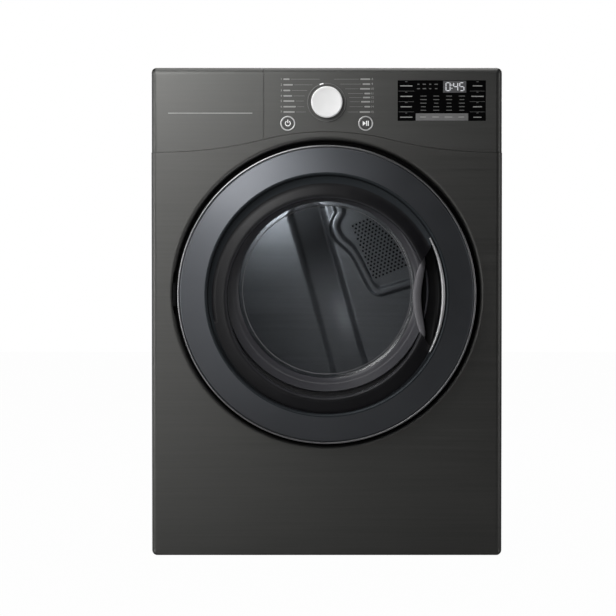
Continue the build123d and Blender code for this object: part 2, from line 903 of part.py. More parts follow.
def duct_outline():
    """Filter duct seen from the front: down from the throat, then across to the blower."""
    half = filter_half + duct_room
    inlet = motor_offset + inlet_radius + duct_room
    top = axis_z
    elbow = motor_z + inlet_radius + duct_room
    floor = foot_height + duct_floor
    return outline((-half, top), (half, top), (half, elbow), (inlet, elbow), (inlet, floor),
                   (0, floor), (-half, filter_bottom - duct_room))


def filter_duct():
    front = filter_front - filter_back
    duct = slab(duct_outline(), front, bulkhead_front)
    inner = offset(duct_outline(), amount=-duct_wall, kind=Kind.INTERSECTION)
    duct -= slab(inner, front + duct_wall, bulkhead_front - duct_wall)
    duct -= rod(motor_offset, motor_z, inlet_radius, bulkhead_front - 2 * duct_wall, bulkhead_front + 1)
    return duct - rod(0, axis_z, opening_radius + running_gap, front - 1, bulkhead_front + 1)


def scroll_face(wall):
    """Blower outline: the wheel's round, drawn out to the exhaust."""
    wheel = Pos(motor_offset, motor_z) * Circle(scroll_radius - wall)
    outlet = Pos(0, exhaust_z) * Circle(scroll_end - wall)
    return make_hull(wheel.edges() + outlet.edges())


def blower_housing():
    front = bulkhead_front
    back = scroll_back
    housing = slab(scroll_face(0), front, back)
    foot_half = scroll_radius / 2
    housing += box(motor_offset - foot_half, motor_offset + foot_half,
                   front + 2 * duct_wall, back - 2 * duct_wall, pan_top, motor_z)
    housing -= slab(scroll_face(duct_wall), front + duct_wall, back - duct_wall)
    housing -= rod(motor_offset, motor_z, inlet_radius, front - 1, front + duct_wall + 1)
    housing -= rod(motor_offset, motor_z, motor_shaft_radius + 2, back - duct_wall - 1, back + 1)
    return housing - rod(0, exhaust_z, exhaust_bore, back - duct_wall - 1, back + 1)


def blower_wheel():
    front = bulkhead_front + 4 * duct_wall
    back = front + wheel_depth
    bore = motor_shaft_radius + running_gap
    wheel = pipe(motor_offset, motor_z, wheel_radius, bore, back - wheel_disc, back)
    wheel += pipe(motor_offset, motor_z, hub_radius, bore, front + wheel_depth / 2, back)
    wheel += pipe(motor_offset, motor_z, wheel_radius, wheel_inner, front, front + wheel_disc)
    blade = box(wheel_inner + 1, wheel_radius - 1, front, back, -blade_thickness / 2, blade_thickness / 2)
    place = Pos(motor_offset, 0, motor_z)
    for turn in range(blade_count):
        wheel += place * Rot(0, turn * 360 / blade_count, 0) * blade
    return wheel


def drive_motor():
    motor = rod(motor_offset, motor_z, motor_radius, motor_front + bell_length, motor_rear - bell_length)
    motor += rod(motor_offset, motor_z, bell_radius, motor_front, motor_rear)
    middle = (motor_front + motor_rear) / 2
    motor += box(motor_offset - cradle_width / 2, motor_offset + cradle_width / 2,
                 middle - cradle_length / 2, middle + cradle_length / 2, pan_top, motor_z)
    bore = motor_shaft_radius + running_gap
    return motor - rod(motor_offset, motor_z, bore, motor_front - 1, motor_rear + 1)


def motor_pulley():
    front = bulkhead_front + 4 * duct_wall + wheel_depth / 2
    half = pulley_width / 2
    pulley = rod(motor_offset, motor_z, motor_shaft_radius, front, belt_y + half + 2 * flange_width)
    pulley += rod(motor_offset, motor_z, pulley_radius, belt_y - half, belt_y + half)
    flange = pulley_radius + pulley_flange
    for face in (belt_y - half - flange_width, belt_y + half):
        pulley += rod(motor_offset, motor_z, flange, face, face + flange_width)
    return pulley


def belt_face(gap):
    """Loop round the drum and the motor pulley, a gap outside both."""
    drum = Pos(0, axis_z) * Circle(drum_radius + gap)
    pulley = Pos(motor_offset, motor_z) * Circle(pulley_radius + gap)
    return make_hull(drum.edges() + pulley.edges())


def drive_belt():
    loop = belt_face(belt_gap + belt_thickness) - belt_face(belt_gap)
    return slab(loop, belt_y - belt_width / 2, belt_y + belt_width / 2)


def idler_centre():
    """The idler leans on the outside of the belt's slack run."""
    across = motor_offset
    down = axis_z - motor_z
    base = math.atan2(-down, across)
    spread = math.acos((drum_radius - pulley_radius) / math.hypot(across, down))
    normal = (math.cos(base - spread), math.sin(base - spread))
    along = (normal[1], -normal[0])
    lift = pulley_radius + 2 * belt_gap + belt_thickness + idler_radius
    return (motor_offset + lift * normal[0] + idler_place * along[0],
            motor_z + lift * normal[1] + idler_place * along[1])


def idler_pulley():
    x, z = idler_centre()
    half = idler_width / 2
    return pipe(x, z, idler_radius, idler_axle + running_gap, belt_y - half, belt_y + half)


def idler_arm():
    x, z = idler_centre()
    near = belt_y + idler_width / 2 + contact_gap
    half = arm_width / 2
    arm = box(x - half, x + half, near, near + arm_thickness, pan_top, z)
    arm += rod(x, z, half, near, near + arm_thickness)
    arm += box(x - half, x + half, near, near + arm_width, pan_top, pan_top + arm_thickness)
    front = belt_y - idler_width / 2 - contact_gap
    arm += rod(x, z, idler_axle, front - arm_thickness, near)
    return arm + rod(x, z, idler_axle * 2, front - arm_thickness, front)


def exhaust_duct():
    duct = pipe(0, exhaust_z, exhaust_radius - exhaust_step, exhaust_bore, scroll_back, rear_y)
    return duct + pipe(0, exhaust_z, exhaust_radius, exhaust_bore, rear_y, rear_y + exhaust_proud)


def heater_box():
    front = rear_bulkhead + sheet
    place = grille_place()
    case = slab(place * Rectangle(grille_width, heater_height), front, front + heater_depth)
    room = Rectangle(grille_width - 2 * sheet, heater_height - 2 * sheet)
    case -= slab(place * room, front - 1, front + heater_depth - sheet)
    return case - slab(place * Pos(0, -heater_height / 2) * Rectangle(heater_intake, 8 * sheet),
                       front + heater_depth / 3, front + heater_depth * 2 / 3)


def gland_z():
    """The cable gland sits below the terminal cover."""
    return terminal_z - gland_drop


def terminal_cover():
    half = terminal_width / 2
    tall = terminal_height / 2
    back = rear_y + terminal_depth
    cover = box(terminal_x - half, terminal_x + half, rear_y, back, terminal_z - tall, terminal_z + tall)
    cover = fillet(cover.edges().group_by(Axis.Y)[-1], terminal_depth / 4)
    wall = 2 * sheet
    return cover - box(terminal_x - half + wall, terminal_x + half - wall, rear_y, back - wall,
                       terminal_z - tall + wall, terminal_z + tall - wall)


def cable_gland():
    ring = pipe(terminal_x, gland_z(), gland_radius, gland_bore, rear_y, rear_y + gland_depth)
    outer_edge = ring.edges().group_by(Axis.Y)[-1].sort_by(SortBy.RADIUS)[-1]
    return fillet(outer_edge, gland_depth / 6)


def ring_profile():
    """Section of the door ring: skirt, bulged face and rounded inner edge."""
    back = frame_y
    shoulder = front_y - ring_shoulder
    nose = ring_nose
    wall = ring_wall
    slope = (shoulder - door_front) / (ring_width - nose)

    def face_line(r, y, lift):
        middle = ((r + ring_inner + nose) / 2, (y + door_front + lift) / 2 - ring_bulge)
        return ThreePointArc((r, y), middle, (ring_inner + nose, door_front + lift))

    outer_arc = face_line(ring_outer, shoulder, 0)
    inner_arc = face_line(ring_outer - wall, shoulder + wall - slope * wall, wall)
    bend = nose * (1 - math.sqrt(0.5))
    nose_arc = ThreePointArc((ring_inner + nose, door_front), (ring_inner + bend, door_front + bend),
                             (ring_inner, door_front + nose))
    return make_face([
        Line((ring_outer, back), (ring_outer, shoulder)),
        outer_arc,
        nose_arc,
        Line((ring_inner, door_front + nose), (ring_inner + wall, door_front + nose)),
        Line((ring_inner + wall, door_front + nose), (ring_inner + nose, door_front + wall)),
        inner_arc,
        Line((ring_outer - wall, shoulder + wall - slope * wall), (ring_outer - wall, back)),
        Line((ring_outer - wall, back), (ring_outer, back)),
    ])


def door_ring():
    return turned(ring_profile(), axis_z)


def door_trim_ring():
    front = front_y - trim_front
    ring = pipe(0, axis_z, trim_outer, ring_outer + running_gap, front, front + trim_depth)
    crown = ring.edges().group_by(Axis.Y)[0]
    return fillet(crown, trim_width / 3)


def bowl_air(grow):
    """Tapering room inside the bowl wall, grown by the wall."""
    mouth = Plane.XZ.offset(-bowl_front_y) * (Pos(0, axis_z) * Circle(bowl_mouth - bowl_wall + grow))
    end = Plane.XZ.offset(-bowl_back_y) * (Pos(0, glass_z) * Circle(glass_radius - bowl_wall + grow))
    return loft([mouth, end])


def pocket_face(grow):
    """Lens-shaped outline of the finger pocket beside the handle."""
    half = pocket_height / 2
    radius = (half ** 2 + pocket_bulge ** 2) / (2 * pocket_bulge)
    left = bowl_mouth - bowl_wall - pocket_reach
    lens = Pos(left + radius, pocket_z) * Circle(radius + grow)
    return lens & (Pos(0, axis_z) * Circle(bowl_mouth - bowl_wall - seat_gap + grow))


def pocket_cut():
    """Room that the finger pocket takes from the pieces around it."""
    return slab(pocket_face(seat_gap), bowl_front_y - 1, pocket_y + pocket_wall + seat_gap)


def door_bowl():
    return bowl_air(bowl_wall) - bowl_air(0) - pocket_cut()


def handle_pocket():
    cup = slab(pocket_face(0), bowl_front_y, pocket_y + pocket_wall)
    cup -= slab(pocket_face(-pocket_wall), bowl_front_y - 1, pocket_y)
    return cup - bowl_air(0)


def glass_profile():
    """Section of the glass bowl: flange, tapering wall and flat back."""
    front = bowl_back_y
    flange = glass_radius + glass_flange
    inner = glass_radius - glass_flange
    back = glass_radius - glass_taper
    glass_front = glass_back - glass_wall
    face = outline((flange, front), (inner, front), (back, glass_front), (0, glass_front),
                   (0, glass_back), (back + glass_lean, glass_back),
                   (inner + glass_lean, front + glass_wall), (flange, front + glass_wall))
    corners = face.vertices().filter_by(lambda corner: abs(corner.X - back) < glass_lean + 0.01)
    return fillet(corners, glass_corner)


def door_glass():
    return turned(glass_profile(), glass_z) - pocket_cut()


def door_inner_frame():
    taper = (frame_y - bowl_back_y) * glass_taper / glass_depth
    clear = glass_radius - glass_flange - taper + 3 * glass_wall
    frame = rod(0, axis_z, ring_outer, frame_y, frame_back)
    frame -= rod(0, glass_z, clear, frame_y - 1, frame_back + 1)
    collar_top = bowl_back_y + glass_wall
    frame += pipe(0, glass_z, glass_radius + glass_flange, glass_radius, collar_top, frame_y)
    for x, z in door_screw_places():
        frame -= rod(x, z, screw_shank + hole_play, frame_y - 1, frame_back + 1)
    return frame - pocket_cut()


def door_screw_places():
    """Screws round the back of the door, clear of hinge and strike."""
    reach = ring_outer - door_screw_inset
    turns = [(step + 0.5) * 2 * math.pi / door_screw_count for step in range(door_screw_count)]
    return [(reach * math.cos(turn), axis_z + reach * math.sin(turn)) for turn in turns]


def door_screws():
    return group([screw(x, z, frame_back) for x, z in door_screw_places()])


def door_seal():
    return pipe(0, axis_z, seal_inner + seal_width, seal_inner, frame_back, recess_floor - contact_gap)


def handle_trim():
    """Crescent on the inner edge of the door ring, thickest in the middle."""
    outer = ring_inner - seat_gap
    half = math.radians(handle_span / 2)

    def at(radius, angle):
        return radius * math.cos(angle), axis_z + radius * math.sin(angle)

    tip = outer - handle_end
    face = make_face([
        ThreePointArc(at(outer, -half), at(outer, 0), at(outer, half)),
        Line(at(outer, half), at(tip, half)),
        ThreePointArc(at(tip, half), at(outer - handle_middle, 0), at(tip, -half)),
        Line(at(tip, -half), at(outer, -half)),
    ])
    return slab(face, bowl_front_y - handle_depth, bowl_front_y)


def door_strike():
    half = strike_height / 2
    left = latch_radius - strike_width / 2
    right = latch_radius + strike_width / 2
    tip = frame_back + strike_depth
    hook = box(left, right, frame_back, tip, axis_z - half, axis_z + half)
    return hook - box(left - 1, right + 1, tip - strike_depth / 2, tip - strike_depth / 4,
                      axis_z - half - 1, axis_z + half / 4)


def door_latch():
    front = recess_floor + sheet
    half = latch_slot / 2
    tall = latch_slot_height / 2
    wall = latch_wall
    case = box(latch_radius - half - wall, latch_radius + half + wall, front, front + latch_depth,
               axis_z - tall - wall, axis_z + tall + wall)
    return case - box(latch_radius - half, latch_radius + half, front - 1, front + latch_depth - wall,
                      axis_z - tall, axis_z + tall)


def hinge_knuckle(low, high, bore):
    """Part of the hinge barrel between two heights about the middle of the door."""
    place = Pos(hinge_x, hinge_y, axis_z + (low + high) / 2)
    return place * (Cylinder(knuckle_radius, high - low) - Cylinder(bore, high - low + 1))


def hinge_leaf():
    half = moving_knuckle / 2
    tall = leaf_height / 2
    web = leaf_web / 2
    back = frame_back + leaf_thickness
    plate_left = hinge_x + knuckle_radius
    leaf = box(hinge_x - web, hinge_x + web, hinge_y, back, axis_z - half, axis_z + half)
    leaf += box(hinge_x - web, plate_left, frame_back, back, axis_z - half, axis_z + half)
    leaf += box(plate_left, plate_left + leaf_reach, frame_back, back, axis_z - tall, axis_z + tall)
    leaf -= Pos(hinge_x, hinge_y, axis_z) * Cylinder(pin_radius + running_gap, 2 * moving_knuckle)
    return leaf + hinge_knuckle(-half, half, pin_radius + running_gap)


def hinge_bracket():
    half = moving_knuckle / 2 + contact_gap
    end = half + fixed_knuckle
    left = hinge_x - knuckle_radius
    bore = pin_radius + running_gap / 2
    bracket = box(left, left + bracket_reach, recess_floor - bracket_thickness, recess_floor,
                  axis_z - end, axis_z + end)
    for low, high in ((-end, -half), (half, end)):
        bracket += box(left, hinge_x, hinge_y, recess_floor, axis_z + low, axis_z + high)
    bracket -= Pos(hinge_x, hinge_y, axis_z) * Cylinder(bore, 4 * end)
    return bracket + hinge_knuckle(-end, -half, bore) + hinge_knuckle(half, end, bore)


def hinge_pin():
    end = moving_knuckle / 2 + contact_gap + fixed_knuckle
    return Pos(hinge_x, hinge_y, axis_z) * Cylinder(pin_radius, 2 * end)


pieces = {
    "base_pan": base_pan(),
    "left_side_panel": side_panel(-1),
    "right_side_panel": side_panel(1),
    "rear_panel": rear_panel(),
    "top_panel": top_panel(),
    "front_panel": front_panel(),
    "leveling_feet": leveling_feet(),
    "cabinet_screws": cabinet_screws(),
    "control_panel": control_panel(),
    "display_window": display_window(),
    "control_board": control_board(),
    "knob_bezel": knob_bezel(),
    "control_knob": control_knob(),
    "button_rings": button_rings(),
    "power_button": push_button(-1),
    "start_button": push_button(1),
    "drawer_front": drawer_front(),
    "drawer_tray": drawer_tray(),
    "steam_tank": steam_tank(),
    "drawer_housing": drawer_housing(),
    "door_ring": door_ring(),
    "door_trim_ring": door_trim_ring(),
    "door_bowl": door_bowl(),
    "door_glass": door_glass(),
    "door_inner_frame": door_inner_frame(),
    "door_seal": door_seal(),
    "door_screws": door_screws(),
    "door_strike": door_strike(),
    "door_latch": door_latch(),
    "handle_trim": handle_trim(),
    "handle_pocket": handle_pocket(),
    "hinge_leaf": hinge_leaf(),
    "hinge_bracket": hinge_bracket(),
    "hinge_pin": hinge_pin(),
    "front_bulkhead": front_bulkhead(),
    "rear_bulkhead": rear_bulkhead_wall(),
    "air_inlet_grille": air_inlet_grille(),
    "drum_felt_seals": drum_felt_seals(),
    "drum_shell": drum_shell(),
    "drum_baffles": drum_baffles(),
    "roller_shafts": roller_shafts(),
    "drum_lamp": drum_lamp(),
    "moisture_sensor": moisture_sensor(),
    "lint_filter": lint_filter(),
    "filter_duct": filter_duct(),
    "blower_housing": blower_housing(),
    "blower_wheel": blower_wheel(),
    "exhaust_duct": exhaust_duct(),
    "heater_box": heater_box(),
    "drive_motor": drive_motor(),
    "motor_pulley": motor_pulley(),
    "drive_belt": drive_belt(),
    "idler_pulley": idler_pulley(),
    "idler_arm": idler_arm(),
    "terminal_cover": terminal_cover(),
    "cable_gland": cable_gland(),
}
for row in ("front", "rear"):
    pieces[f"{row}_left_roller"] = drum_roller(row, -1)
    pieces[f"{row}_right_roller"] = drum_roller(row, 1)

os.makedirs("parts", exist_ok=True)
for name, shape in pieces.items():
    export_step(shape, f"parts/{name}.step")
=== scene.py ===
import json
from functools import partial
from math import atan2, copysign, cos, exp, hypot, pi, radians, sin, sqrt
import bmesh
import bpy
from mathutils import Matrix, Vector

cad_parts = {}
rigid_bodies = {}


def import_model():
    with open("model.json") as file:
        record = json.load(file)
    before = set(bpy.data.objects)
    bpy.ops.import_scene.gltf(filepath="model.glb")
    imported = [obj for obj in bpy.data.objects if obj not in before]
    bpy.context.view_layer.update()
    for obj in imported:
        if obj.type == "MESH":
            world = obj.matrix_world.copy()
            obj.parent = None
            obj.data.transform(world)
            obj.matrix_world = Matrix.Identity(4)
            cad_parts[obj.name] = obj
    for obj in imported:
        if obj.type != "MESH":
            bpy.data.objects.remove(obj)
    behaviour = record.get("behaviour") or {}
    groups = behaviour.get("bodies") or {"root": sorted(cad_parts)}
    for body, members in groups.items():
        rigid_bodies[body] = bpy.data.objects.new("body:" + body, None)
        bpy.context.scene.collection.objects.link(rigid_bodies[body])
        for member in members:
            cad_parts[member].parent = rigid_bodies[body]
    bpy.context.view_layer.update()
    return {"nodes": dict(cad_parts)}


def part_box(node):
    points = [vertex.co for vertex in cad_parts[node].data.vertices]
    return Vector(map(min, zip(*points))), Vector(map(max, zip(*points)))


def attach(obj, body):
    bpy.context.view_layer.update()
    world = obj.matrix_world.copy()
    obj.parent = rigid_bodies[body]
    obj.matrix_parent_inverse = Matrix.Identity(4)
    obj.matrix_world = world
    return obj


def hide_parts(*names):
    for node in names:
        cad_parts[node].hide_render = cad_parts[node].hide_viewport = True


for leftover in list(bpy.data.objects):
    bpy.data.objects.remove(leftover)
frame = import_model()
nodes = frame["nodes"]
scene = bpy.context.scene
mm = 0.001
weldGap = 0.00001

# places that the pieces below share, read from the frame
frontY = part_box("front_panel")[0].y
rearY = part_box("rear_panel")[1].y
trimLow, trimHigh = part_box("door_trim_ring")
doorZ = (trimLow.z + trimHigh.z) / 2
ringLow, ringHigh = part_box("door_ring")
knobLow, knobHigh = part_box("control_knob")
dialZ = (knobLow.z + knobHigh.z) / 2
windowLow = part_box("display_window")[0]
print("frame loaded:", len(nodes), "nodes")


# finishes

def startFinish(name):
    finish = bpy.data.materials.new(name)
    finish.use_nodes = True
    tree = finish.node_tree
    return finish, tree, tree.nodes["Principled BSDF"]


def feed(tree, node, inputs):
    # a node or a socket is linked, several of them in a list, and a plain value is set
    for key, value in inputs.items():
        for item in value if isinstance(value, list) else [value]:
            if isinstance(item, bpy.types.Node):
                item = item.outputs[0]
            if isinstance(item, bpy.types.NodeSocket):
                tree.links.new(item, node.inputs[key])
            else:
                node.inputs[key].default_value = item


def addNode(tree, kind, inputs=None, **settings):
    node = tree.nodes.new(kind)
    for key, value in settings.items():
        setattr(node, key, value)
    feed(tree, node, inputs or {})
    return node


def mathNode(tree, operation, *values):
    return addNode(tree, "ShaderNodeMath", dict(enumerate(values)), operation=operation).outputs[0]


def grainNoise(tree, stretch, detail=3.0):
    coords = addNode(tree, "ShaderNodeTexCoord").outputs["Object"]
    scale = stretch if isinstance(stretch, tuple) else (stretch,) * 3
    mapping = addNode(tree, "ShaderNodeMapping", {"Vector": coords, "Scale": scale})
    noise = addNode(tree, "ShaderNodeTexNoise", {"Vector": mapping, "Scale": 1.0, "Detail": detail})
    return noise.outputs["Fac"]


def toneRange(tree, factor, dark, light):
    tones = {"Factor": factor, "A": (*dark, 1), "B": (*light, 1)}
    return addNode(tree, "ShaderNodeMix", tones, data_type="RGBA").outputs["Result"]


def numberRange(tree, factor, low, high):
    # noise lies mostly between 0.3 and 0.7
    ends = {"Value": factor, "From Min": 0.3, "From Max": 0.7, "To Min": low, "To Max": high}
    return addNode(tree, "ShaderNodeMapRange", ends).outputs["Result"]


def eitherSide(tone, spread):
    return [value * (1 - spread) for value in tone], [min(1, value * (1 + spread)) for value in tone]


def addBump(tree, surface, strength, stretch, depth):
    height = grainNoise(tree, stretch, 4.0)
    lift = addNode(tree, "ShaderNodeBump", {"Strength": strength, "Distance": depth, "Height": height})
    feed(tree, surface, {"Normal": lift})


finishes = {}


def addFinish(key, name, tone, rough, metal, stretch, spread, roughSpread, *bump, **sockets):
    # one noise varies tone and gloss, a second and finer one lifts the surface
    finishes[key], tree, surface = startFinish(name)
    factor = grainNoise(tree, stretch)
    span = numberRange(tree, factor, 0, 1)
    gloss = numberRange(tree, factor, max(0.02, rough - roughSpread), rough + roughSpread)
    feed(tree, surface, {"Base Color": toneRange(tree, span, *eitherSide(tone, spread)), "Roughness": gloss,
                         "Metallic": metal})
    feed(tree, surface, {label.replace("_", " "): value for label, value in sockets.items()})
    if bump:
        addBump(tree, surface, *bump)


fineGrain, mouldGrain = 900, 1600
upright = (5, 5, 300)       # long level streaks on upright faces
lying = (5, 300, 5)         # the same on faces that look up

addFinish("graphite", "graphiteSteel", (0.114, 0.1135, 0.1095), 0.425, 0.92, upright, 0.05, 0.03, 0.12,
          (14, 14, 1500), 0.00005)
addFinish("graphiteTop", "graphiteSteelTop", (0.114, 0.1135, 0.1095), 0.425, 0.92, lying, 0.05, 0.03, 0.12,
          (14, 1500, 14), 0.00005)
addFinish("console", "consolePaint", (0.118, 0.118, 0.114), 0.435, 0.9, upright, 0.04, 0.03, 0.1, mouldGrain,
          0.00004)
addFinish("fastener", "brightFastener", (0.6, 0.6, 0.6), 0.28, 1.0, fineGrain, 0.1, 0.06)
addFinish("ringTint", "doorRingTint", (0.112, 0.118, 0.13), 0.43, 0.85, 9, 0.04, 0.02, 0.04, fineGrain,
          0.00003, Coat_Weight=0.1, Coat_Roughness=0.2)
addFinish("trim", "satinTrim", (0.34, 0.34, 0.35), 0.3, 1.0, fineGrain, 0.05, 0.03)
addFinish("trimBright", "brightRing", (0.72, 0.72, 0.72), 0.32, 0.55, fineGrain, 0.05, 0.03)
# the knob's faint white emission is painted light: a glow on a knob that is no lamp
addFinish("knob", "knobSilverPaintedGlow", (0.97, 0.97, 0.97), 0.42, 0.0, 60, 0.03, 0.03, 0.08, 2400, 0.00003,
          Emission_Color=(1, 1, 1, 1), Emission_Strength=0.08)
addFinish("bowlWall", "bowlWall", (0.006, 0.0058, 0.0074), 0.36, 0.0, 24, 0.12, 0.03, 0.05, fineGrain,
          0.00003, Specular_IOR_Level=0.33)
addFinish("screen", "blackScreen", (0.003, 0.003, 0.0032), 0.2, 0.0, 30, 0.15, 0.02, 0.02, fineGrain, 0.00002,
          Specular_IOR_Level=0.08)
addFinish("handle", "handleChrome", (0.62, 0.62, 0.63), 0.3, 0.6, fineGrain, 0.04, 0.03)
# grey bands on the glass: painted highlight lines
addFinish("glassHighlightLine", "glassPaintedHighlightLine", (0.17, 0.17, 0.178), 0.4, 0.0, 50, 0.1, 0.04, Specular_IOR_Level=0.2)
addFinish("button", "buttonCap", (0.1, 0.1, 0.098), 0.4, 0.7, 80, 0.05, 0.03)
addFinish("backPlastic", "doorBackPlastic", (0.035, 0.035, 0.038), 0.5, 0.0, 50, 0.1, 0.06, 0.25, mouldGrain,
          0.00008)
# near-black sheet for the gap round the door: painted shade
addFinish("shadeLining", "blackShadeLining", (0.0025, 0.0025, 0.0025), 0.7, 0.0, 60, 0.2, 0.05, 0.1, fineGrain, 0.0001,
          Specular_IOR_Level=0.08)
addFinish("rubber", "sealRubber", (0.018, 0.018, 0.019), 0.62, 0.0, 120, 0.18, 0.08, 0.25, fineGrain, 0.0001)
addFinish("felt", "pressedFelt", (0.16, 0.15, 0.135), 0.92, 0.0, 420, 0.3, 0.04, 0.8, 1500, 0.0004)
addFinish("baffle", "bafflePlastic", (0.16, 0.165, 0.17), 0.42, 0.0, 35, 0.07, 0.05, 0.2, mouldGrain, 0.00006)
addFinish("roller", "rollerRubber", (0.03, 0.03, 0.03), 0.7, 0.0, 160, 0.2, 0.08, 0.3, fineGrain, 0.0001)
addFinish("duct", "ductPlastic", (0.55, 0.55, 0.53), 0.5, 0.0, 30, 0.05, 0.05, 0.15, mouldGrain, 0.00006)
addFinish("filter", "filterPlastic", (0.07, 0.07, 0.074), 0.45, 0.0, 60, 0.1, 0.05, 0.2, mouldGrain, 0.00006)
addFinish("drawer", "drawerPlastic", (0.4, 0.41, 0.42), 0.4, 0.0, 40, 0.05, 0.04, 0.15, mouldGrain, 0.00006)
addFinish("tank", "milkyTank", (0.62, 0.68, 0.71), 0.35, 0.0, 9, 0.03, 0.03, 0.1, mouldGrain, 0.00005,
          Subsurface_Weight=0.2, Subsurface_Radius=(0.004, 0.005, 0.006))
addFinish("motor", "castMotor", (0.3, 0.31, 0.32), 0.5, 0.85, 80, 0.14, 0.1, 0.3, 500, 0.0002)
addFinish("board", "boardLaminate", (0.02, 0.1, 0.045), 0.35, 0.0, 220, 0.25, 0.08, 0.2, fineGrain, 0.0001)
addFinish("gland", "glandNylon", (0.02, 0.02, 0.02), 0.45, 0.0, 90, 0.15, 0.06, 0.2, mouldGrain, 0.00006)
addFinish("hinge", "blackHinge", (0.004, 0.004, 0.0045), 0.7, 0.0, 200, 0.2, 0.06, Specular_IOR_Level=0.08)
addFinish("mark", "printedMark", (0.42, 0.42, 0.41), 0.55, 0.0, 300, 0.06, 0.05)
addFinish("signLit", "litSign", (0.85, 0.85, 0.85), 0.45, 0.0, 300, 0.04, 0.05, Emission_Color=(1, 1, 1, 1),
          Emission_Strength=0.3)
addFinish("markThin", "thinMark", (0.3, 0.3, 0.295), 0.55, 0.0, 300, 0.06, 0.05)
addFinish("markFaint", "faintMark", (0.17, 0.17, 0.168), 0.55, 0.0, 300, 0.06, 0.05)
addFinish("digit", "litDigit", (0.85, 0.86, 0.88), 0.4, 0.0, 400, 0.04, 0.05,
          Emission_Color=(0.9, 0.93, 1.0, 1), Emission_Strength=0.25)
addFinish("clockPane", "clockPane", (0.12, 0.12, 0.125), 0.25, 0.0, 60, 0.08, 0.04)
addFinish("keyBar", "keyBar", (0.2, 0.2, 0.2), 0.35, 0.0, 80, 0.08, 0.04)
addFinish("drum", "drumSteel", (0.36, 0.37, 0.38), 0.36, 0.95, (3, 240, 3), 0.07, 0.05, 0.1, (10, 1200, 10),
          0.00005)
# the rear wall's steel takes painted shade and painted highlight from its own attribute, set further down
addFinish("rearWall", "rearWallSteelPaintedLightShade", (0.2, 0.205, 0.21), 0.36, 0.9, (4, 4, 160), 0.06, 0.04, 0.1,
          (12, 12, 1200), 0.00005)
addFinish("pocket", "pocketBlack", (0.002, 0.002, 0.0025), 0.45, 0.0, 30, 0.15, 0.03, 0.05, mouldGrain,
          0.00004, Specular_IOR_Level=0.12)
# a darker finish for the rounded inner edge of the door ring: painted shade
addFinish("ringEdgeShade", "doorRingEdgePaintedShade", (0.034, 0.039, 0.044), 0.45, 0.6, 9, 0.05, 0.02, 0.04, fineGrain,
          0.00003, Specular_IOR_Level=0.2)
# a paler grey on the bowl's inner lip: painted light over its shade
addFinish("bowlLipPaintedLight", "bowlLipPaintedLight", (0.03, 0.03, 0.034), 0.42, 0.0, 24, 0.12, 0.03, 0.05, fineGrain, 0.00003,
          Specular_IOR_Level=0.25)
addFinish("lip", "pocketLip", (0.19, 0.186, 0.2), 0.42, 0.0, 60, 0.06, 0.04, 0.1, mouldGrain, 0.00005)


def glassFinish(name, tint, rough, transmission):
    finish, tree, surface = startFinish(name)
    factor = grainNoise(tree, 18)
    feed(tree, surface, {"Base Color": toneRange(tree, factor, [value * 0.96 for value in tint], tint),
                         "Roughness": numberRange(tree, factor, rough, rough + 0.02),
                         "Transmission Weight": transmission, "IOR": 1.46})
    return finish


finishes["glass"] = glassFinish("tintedGlass", (0.62, 0.63, 0.65), 0.01, 1.0)
finishes["glassWall"] = glassFinish("smokyGlass", (0.086, 0.086, 0.097), 0.3, 0.3)
finishes["lens"] = glassFinish("lampLens", (0.9, 0.89, 0.84), 0.25, 0.6)


def spangleFinish(name, tone, rough, metal, cell, spread):
    # hot-dip zinc: crystals of slightly different tone and gloss, with a fine grain over them
    finish, tree, surface = startFinish(name)
    coords = addNode(tree, "ShaderNodeTexCoord").outputs["Object"]
    crystals = addNode(tree, "ShaderNodeTexVoronoi", {"Vector": coords, "Scale": 1 / cell}, feature="F1")
    split = addNode(tree, "ShaderNodeSeparateColor", {0: crystals.outputs["Color"]}).outputs
    grain = mathNode(tree, "MULTIPLY_ADD", grainNoise(tree, 7), 0.5, 0.0)
    factor = mathNode(tree, "MULTIPLY_ADD", split[0], 0.5, grain)
    feed(tree, surface, {"Base Color": toneRange(tree, factor, *eitherSide(tone, spread)), "Metallic": metal,
                         "Roughness": numberRange(tree, split[1], rough - 0.05, rough + 0.05)})
    addBump(tree, surface, 0.12, 320, 0.0001)
    return finish


def shadeBy(finish, label):
    # the piece's own attribute paints shade on a finish above zero and paints highlight on it below zero
    tree = finish.node_tree
    surface = tree.nodes["Principled BSDF"]
    plain = surface.inputs["Base Color"].links[0].from_socket
    amount = addNode(tree, "ShaderNodeAttribute", attribute_name=label).outputs["Fac"]
    share = mathNode(tree, "MULTIPLY_ADD", amount, -0.97, 1.0)
    mix = addNode(tree, "ShaderNodeMix", {"Factor": 1.0, "A": plain, "B": share}, data_type="RGBA",
                  blend_type="MULTIPLY")
    feed(tree, surface, {"Base Color": mix.outputs["Result"]})


finishes["zinc"] = spangleFinish("zincSheet", (0.46, 0.47, 0.48), 0.42, 0.9, 0.013, 0.13)
# painted shade and painted highlight on the rear wall, read from its attribute
shadeBy(finishes["rearWall"], "shade")
print("finishes made:", len(finishes))


# making pieces

def keepPiece(piece, body, slot, *stoodFor):
    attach(piece, body)
    if stoodFor:
        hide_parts(*stoodFor)
    return piece


def addObject(name, data):
    thing = bpy.data.objects.new(name, data)
    scene.collection.objects.link(thing)
    return thing


def newPiece(name, mesh, finish, sharp=35):
    piece = addObject(name, mesh)
    mesh.materials.clear()
    mesh.materials.append(finishes[finish])
    for face in mesh.polygons:
        face.use_smooth = True
    mesh.set_sharp_from_angle(angle=radians(sharp))
    return piece


def copyShape(node, weld=weldGap):
    shape = bmesh.new()
    shape.from_mesh(nodes[node].data)
    bmesh.ops.remove_doubles(shape, verts=shape.verts, dist=weld)
    return shape


